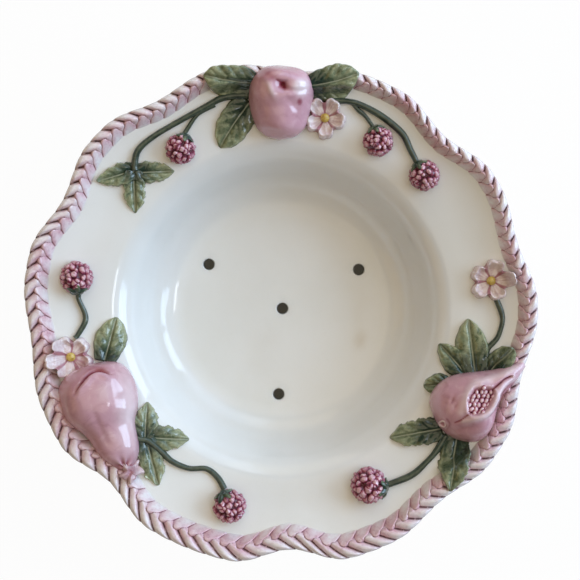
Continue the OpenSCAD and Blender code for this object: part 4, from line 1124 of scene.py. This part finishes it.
def leaf(name, node, mat, shares, lift=0.0, notch=0.04, thick=2.8, bend=0.0, veins=5, seed=1,
         olive=1.0):
    base, tip = spot(shares[0], shares[1]), spot(shares[2], shares[3])
    length = np.hypot(*(tip - base))
    way = (tip - base) / length
    cross = np.array([-way[1], way[0]])
    half = LEAF_W * shares[4] / 2
    point = 0.24 if notch > 0.1 else 0.12
    rows, cols = 80, 65
    v = np.linspace(0, 1, rows)[:, None]
    u = np.sin(np.linspace(-90, 90, cols) * RAD)[None, :] * 0.4 + np.linspace(-1, 1, cols)[None, :] * 0.6
    keys = np.linspace(0, 1, len(LEAF_OUTLINE))
    fine = smooth_path(np.stack([keys, LEAF_OUTLINE], -1), 12)
    width = np.interp(v[:, 0], fine[:, 0], fine[:, 1])[:, None] * np.clip((1 - v) / point, 0, 1) ** 0.5
    side = np.abs(u)
    # side veins run out and forward; the rim draws in where the hollow between two of them meets it
    start = 0.2 * (u > 0) + 0.07 * seed
    phase = veins * (v - 0.42 * side * half / length * 2) + start
    edge_phase = veins * (v - 0.84 * half / length) + start

    def dip(q, w):
        return bell(np.mod(q, 1) - 0.5, w)

    long_part = np.sin(np.clip(v, 0.04, 0.97) * math.pi) ** 0.4
    width = width * (1 - notch * dip(edge_phase, 0.2) * side ** 3 * long_part)
    wave = 1 + 0.05 * np.sin(v * 9 + seed) * side
    if notch > 0.1:
        teeth = np.mod(v * 9 + 0.3 * seed + 0.5 * (u > 0), 1)
        wave = wave - 0.09 * teeth * side ** 4 * long_part
    off = half * width * wave * u + bend * half * np.sin(v * math.pi)
    x = base[0] + way[0] * length * v + cross[0] * off
    y = base[1] + way[1] * length * v + cross[1] * off
    dist_mid = side * half * width
    crown = 0.62 + 0.38 * np.sin(np.clip(side * 1.5, 0, 1) * math.pi / 2)
    dome = np.sqrt(np.clip(1 - side ** 3.0, 0, 1)) * crown
    ends = np.clip(np.minimum(v / 0.04, (1 - v) / 0.06), 0, 1) ** 0.5
    h = thick * dome * (0.62 + 0.38 * np.sin(v * math.pi)) * ends
    mid = bell(dist_mid, 0.85)
    rib = bell(dist_mid, 0.25)
    h = h - 1.05 * mid * arch(v, 0.02) ** 0.3 + 0.4 * rib
    strength = np.clip(side * 3, 0, 1) * np.clip((1 - side) * 5, 0, 1) ** 0.6 * long_part
    h = h + (0.13 * np.cos(2 * math.pi * phase) - 0.17 * dip(phase, 0.16)) * strength
    h = h + 0.35 * bell(side - 0.86, 0.10) * ends
    x, y, h = (np.broadcast_to(q, (rows, cols)).copy() for q in (x, y, h))
    z = rest_z(x, y, ramp=3.4) + h + lift * np.clip(1.2 - side ** 4, 0, 1)
    border = np.zeros((rows, cols), bool)
    border[:, 0] = border[:, -1] = border[0] = border[-1] = True
    z[border] -= 0.9
    top = np.stack([x, y, z], -1)
    top[..., 2] += (0.26 * waves(top.reshape(-1, 3), 7, 50 + seed).reshape(rows, cols)
                    + 0.12 * waves(top.reshape(-1, 3), 3.2, 90 + seed).reshape(rows, cols)) * ~border
    hollow = np.clip(mid * 0.8 + 0.38 * strength * dip(phase, 0.2), 0, 1)
    hollow = np.maximum(hollow, np.clip((side - 0.95) / 0.05, 0, 1) * 0.8)
    low = top.copy()
    low[..., 2] = np.minimum(rest_z(x, y, ramp=3.4) - 1.4, top[..., 2] - 0.1)
    verts = np.concatenate([top.reshape(-1, 3), low.reshape(-1, 3)])
    n = rows * cols
    faces = grid_faces(rows, cols, flip=True) + grid_faces(rows, cols, start=n)
    ring = [*range(cols), *[i * cols + cols - 1 for i in range(1, rows)],
            *[(rows - 1) * cols + j for j in range(cols - 2, -1, -1)],
            *[i * cols for i in range(rows - 2, 0, -1)]]
    faces += [[a, b, b + n, a + n] for a, b in zip(ring, ring[1:] + ring[:1])]

    def two(q):
        return np.tile(np.broadcast_to(q, (rows, cols)).ravel(), 2)

    make(name, verts, faces, mat, node,
         {"along": two(v * olive), "vein": two(rib * arch(v, 0.02) ** 0.5),
          "rim": two(bell(side - 0.88, 0.12) + 0 * v), "hollow": two(hollow)})


APPLE_LEAVES = [[96.5, .63, 108.4, .85, .84], [98.5, .46, 111, .02, .92], [82.7, .6, 71.8, .87, .87]]
SPRIG_LEAVES = [[135.6, .34, 145.1, .62, .62], [137.2, .35, 127.6, .04, .62], [136.4, .38, 146.6, .04, .64]]
PEAR_LEAVES = [[196.3, .15, 182.4, -.08, .82], [223.4, .19, 214.3, -.11, .68], [223.0, .17, 234.5, -.15, .7],
               [222.9, .16, 235, .5, .72]]
POME_LEAVES = [[341.3, .38, 357.4, .17, .84], [340.2, .32, 347.9, -.13, .68], [336.6, .15, 331.7, -.13, .6],
               [342.9, .51, 351, .7, .6], [323.7, .32, 310.1, -.06, .76], [325.4, .49, 312.9, .84, .8]]


def leaves(mat):
    for i, shares in enumerate(APPLE_LEAVES):
        leaf(f"apple_spray_leaf_{i + 1}", f"apple_leaf_{i + 1}", mat, shares, seed=i, veins=5,
             bend=(0.10, -0.06, -0.1)[i], olive=0.88)
    for i, shares in enumerate(SPRIG_LEAVES):
        leaf(f"trio_leaf_{i + 1}", f"sprig_leaf_{i + 1}", mat, shares, seed=5 + i,
             notch=0.16, veins=4, thick=2.3)
    for i, shares in enumerate(PEAR_LEAVES):
        leaf(f"pear_spray_leaf_{i + 1}", f"pear_leaf_{i + 1}", mat, shares, seed=9 + i,
             notch=0.03 if i == 0 else 0.15, veins=4, thick=3.1 if i == 0 else 2.5)
    for i, shares in enumerate(POME_LEAVES):
        leaf(f"pomegranate_spray_leaf_{i + 1}", f"pomegranate_leaf_{i + 1}", mat, shares, seed=15 + i,
             notch=0.12 if i in (4, 5) else 0.04, veins=5 if i == 4 else 4, thick=2.8,
             lift=(0.5, 0.2, 0, 0.1, 0.2, 0.0)[i], olive=(0.85, 0.62, 0.6, 0.65, 0.72, 0.72)[i])


# Stems, berries and flowers
STEMS = [
    [[99.5, .53], [103, .555], [106.2, .56], [110, .53], [118.6, .5], [126.3, .51], [131.7, .5],
     [135.2, .41], [136.4, .35]],
    [[108, .515], [112, .49], [114.5, .45], [118.2, .36], [120.4, .31]],
    [[76.5, .51], [74.2, .53], [72.2, .55], [69.1, .56], [63, .54], [55.9, .49], [51.1, .39], [46.3, .31]],
    [[71.3, .545], [70.2, .52], [68.8, .49], [66.7, .46], [63.3, .38]],
    [[187.6, .42], [186.7, .38], [183.4, .29], [180.8, .29], [177.1, .36], [175.7, .37]],
    [[219.6, .32], [222.4, .23], [224.8, .17], [229.9, .16], [234.2, .17], [239.7, .13], [244.6, .04],
     [249, .08], [252.2, .18]],
    [[3.5, .49], [1.7, .52], [359.2, .56], [356.8, .57], [352.8, .53], [349.5, .44], [347.2, .44]],
    [[322.8, .4], [317.9, .43], [313.6, .44], [308.1, .44], [300.6, .37]]]
STEM_WIDTHS = [1, .66, 1, .66, .85, .95, .85, 1]
BERRIES = [[122.1, .22, .86, 63], [60.2, .27, .86, 106], [43.3, .29, .86, 126], [170.9, .42, .92, 278],
           [255.1, .36, .93, 115], [296.5, .28, 1.02, 352]]
FLOWERS = [[77.3, .29, .96, 58], [8, .46, .98, 6], [192.5, .51, 1, 48]]


def stems(mat):
    for k, table in enumerate(STEMS):
        path = smooth_path([spot(a, b) for a, b in table], 14)
        r = STEM_R * STEM_WIDTHS[k]
        way = np.gradient(path, axis=0)
        way /= np.hypot(way[:, 0], way[:, 1])[:, None]
        cross = np.stack([way[:, 1], -way[:, 0]], -1)
        s = np.linspace(0, 1, len(path))
        girth = r * (1 + 0.10 * np.sin(s * 9 + k) + 0.12 * bell(s, 0.06))
        sides = 24
        t = round_steps(sides)
        x = path[:, 0, None] + cross[:, 0, None] * girth[:, None] * np.cos(t)
        y = path[:, 1, None] + cross[:, 1, None] * girth[:, None] * np.cos(t)
        mid = rest_z(path[:, 0], path[:, 1], ramp=3.0) + 0.55 * r
        z = mid[:, None] + girth[:, None] * 1.1 * np.sin(t)
        grid = np.stack([x, y, z], -1)
        caps = [grid[0].mean(0), grid[-1].mean(0)]
        verts = np.concatenate([grid.reshape(-1, 3), caps])
        n = grid.shape[0] * sides
        faces = grid_faces(grid.shape[0], sides, wrap_cols=True)
        faces += [[n, (j + 1) % sides, j] for j in range(sides)]
        last = n - sides
        faces += [[n + 1, last + j, last + (j + 1) % sides] for j in range(sides)]
        make(f"green_stem_{k + 1}", verts, faces, mat, f"stem_{k + 1}")


def berries(mat, cap_mat):
    ico = bmesh.new()
    bmesh.ops.create_icosphere(ico, subdivisions=6, radius=1.0)
    dirs = np.array([v.co[:] for v in ico.verts])
    faces = [[v.index for v in f.verts] for f in ico.faces]
    ico.free()
    for k, (angle, share, size, heading) in enumerate(BERRIES):
        d = BERRY_D * size
        r = flange_r(share)
        out = np.array([math.cos(angle * RAD), math.sin(angle * RAD), 0])
        normal = np.array([0, 0, C_F]) - out * S_F
        centre = np.array([r * out[0], r * out[1], surface_z(r)]) + normal * d * 0.16
        rng = np.random.default_rng(100 + k)
        # drupelets, spread evenly with a little disorder
        count = 86
        i = np.arange(count) + 0.5
        lat = np.arccos(1 - 2 * i / count)
        lon = np.pi * (1 + 5 ** 0.5) * i + rng.uniform(0, 6)
        c = np.stack([np.sin(lat) * np.cos(lon), np.sin(lat) * np.sin(lon), np.cos(lat)], -1)
        c += rng.normal(0, 0.095, c.shape)
        c /= np.linalg.norm(c, axis=1)[:, None]
        small = 0.176 * rng.uniform(0.72, 1.28, count)
        c *= (1 - small)[:, None] * rng.uniform(0.97, 1.02, count)[:, None]
        bent = dirs + 0.05 * np.stack([waves(dirs, 0.55, 7 + k + q) for q in range(3)], -1) \
            + 0.025 * np.stack([waves(dirs, 0.22, 17 + k + q) for q in range(3)], -1)
        bent /= np.linalg.norm(bent, axis=1)[:, None]
        dots = bent @ c.T
        root = dots ** 2 - (c ** 2).sum(1)[None] + small[None] ** 2
        hit = np.where(root > 0, dots + np.sqrt(np.clip(root, 0, None)), 0.76)
        order = np.partition(hit, -2, axis=1)
        best, second = order[:, -1], order[:, -2]
        # painted shade: darker in the creases between drupelets and on their low parts
        crease = 1 - np.clip((best - np.maximum(second, 0.77)) / 0.09, 0, 1)
        low = 1 - np.clip((best - 0.81) / 0.155, 0, 1)
        crease = np.clip(0.75 * crease ** 1.5 + 0.6 * low, 0, 1)
        verts = centre + dirs * (best + 0.02 * waves(dirs, 0.11, 3 + k))[:, None] * d / 2
        # painted shade: darker towards each berry's bottom
        tone = 1 - np.clip((verts[:, 2] - centre[2]) / (d / 2), 0, 1)
        make(f"raspberry_{k + 1}", settle(verts, 0.6), faces, mat, f"berry_{k + 1}",
             {"crease": crease, "tone": tone})

        # cap of pointed sepals, where the stem meets the berry
        h = heading * RAD
        way = np.array([math.cos(h), math.sin(h), 0.45])
        way /= np.linalg.norm(way)
        e1 = np.cross(way, [0, 0, 1])
        e1 /= np.linalg.norm(e1)
        e2 = np.cross(way, e1)
        rows, sides = 22, 100
        t = round_steps(sides)
        star = 0.5 + 0.5 * np.cos(5 * t + 0.4 + k)
        span_ = 0.36 + 0.30 * star ** 1.6
        grid, along = [], []
        for i in range(rows):
            s = i / (rows - 1)
            ang = span_ * s
            belly = 0.055 * math.sin(min(1, s * 1.2) * math.pi)
            rad = d / 2 * (1.0 + belly + 0.05 * (1 - s) ** 4 + 0.035 * s * star)
            grid.append(centre + rad[:, None] * (np.cos(ang)[:, None] * way
                        + np.sin(ang)[:, None] * (np.cos(t)[:, None] * e1 + np.sin(t)[:, None] * e2)))
            along.append(0.1 + 0.3 * s * star)
        for shrink, lean_ in ((0.97, 1.0), (0.90, 0.9), (0.88, 0.5)):
            ang = span_ * lean_
            grid.append(centre + d / 2 * shrink * (np.cos(ang)[:, None] * way
                        + np.sin(ang)[:, None] * (np.cos(t)[:, None] * e1 + np.sin(t)[:, None] * e2)))
            along.append(np.full(sides, 0.1))
        cap = np.concatenate(grid)
        along = np.concatenate(along)
        zero = np.zeros(len(cap))
        make(f"raspberry_cap_{k + 1}", settle(cap, 0.3), grid_faces(len(grid), sides, wrap_cols=True),
             cap_mat, f"berry_cap_{k + 1}",
             {"along": along, "vein": zero, "rim": zero, "hollow": zero + 0.25}, merge=0.001)


def flowers(petal_mat, yellow_mat):
    for k, (angle, share, size, turn) in enumerate(FLOWERS):
        centre = spot(angle, share)
        d = FLOWER_D * size
        rows, sides = 40, 200
        t = round_steps(sides)
        a = t - turn * RAD
        fold = np.abs(np.sin(2.5 * a))
        edge = d * (0.5 - 0.14 * fold ** 5.5) * (1 + 0.03 * np.cos(3 * t + k))
        tipnotch = bell(np.mod(a * 5 / (2 * math.pi) + 0.5, 1) - 0.5, 0.055)
        edge = edge * (1 - 0.035 * tipnotch)
        parting = bell(1 - fold, 0.07)
        grid, rosy = [], []
        for i in range(rows):
            s = i / (rows - 1)
            r = 1.2 + (edge - 1.2) * s
            x, y = centre[0] + r * np.cos(t), centre[1] + r * np.sin(t)
            cup = 0.55 + 0.75 * s + 1.05 * bell(s - 0.82, 0.15)
            round_off = math.sqrt(max(0.0, 1 - max(0.0, (s - 0.9) / 0.1) ** 2))
            h = (1.9 * cup - 1.25 * parting * (0.35 + 0.65 * s) - 0.75 * bell(s - 0.55, 0.25)
                 * bell(1 - fold, 0.9) * (1 - parting)) * round_off
            stripe = 0.5 + 0.5 * np.cos(a * 25 + 2 * np.sin(a * 4 + k))
            h = h + 0.10 * stripe * s * round_off
            z = rest_z(x, y, ramp=3.2) + h - (1.0 if i == rows - 1 else 0)
            grid.append(np.stack([x, y, z], -1))
            shade = 0.34 * bell(s - 0.5, 0.3) * (0.5 + 0.5 * np.sin(a * 2.5 + 0.8 + k))
            if k == 2:
                shade = shade + 0.45 * bell(np.mod(t + 0.5 + math.pi, 2 * math.pi) - math.pi, 0.55)
            painted = 0.2 * stripe * math.sin(min(1, s * 1.1) * math.pi) + 0.5 * max(0, (s - 0.93) / 0.07)
            rosy.append(np.clip(0.8 * parting + 0.65 * bell(s - 0.1, 0.12) + shade + painted, 0, 1))
        low = grid[-1].copy()
        low[:, 2] -= 0.6
        grid += [low]
        rosy += [np.full(sides, 0.8)]
        make_rings(f"blossom_{k + 1}", grid, petal_mat, f"flower_{k + 1}",
                   {"rosy": np.concatenate(rosy)})

        rows, sides = 30, 60
        t = round_steps(sides)
        z0 = float(rest_z(*centre, ramp=3.2))
        grid = []
        for i in range(rows):
            lat = (90 - 120 * i / (rows - 1)) * RAD
            pip = 1 + 0.06 * np.cos(6 * t + i) * math.sin(3 * lat)
            grid.append(np.stack([centre[0] + 2.3 * math.cos(lat) * np.cos(t) * pip,
                                  centre[1] + 2.3 * math.cos(lat) * np.sin(t) * pip,
                                  np.full(sides, z0 + 1.0 + 2.2 * math.sin(lat))], -1))
        make_rings(f"blossom_eye_{k + 1}", grid, yellow_mat, f"flower_centre_{k + 1}",
                   merge=0.001, flip=True)


camera()
studio()
bowl()
plait(plait_glaze())
fruit, pink = fruit_glaze(), petal_glaze()
apple(fruit)
pear(fruit)
pear_stub(pink)
pomegranate(fruit, seed_glaze(), pink)
green = leaf_glaze()
leaves(green)
stems(stem_glaze())
berries(berry_glaze(), green)
flowers(pink, yellow_glaze())
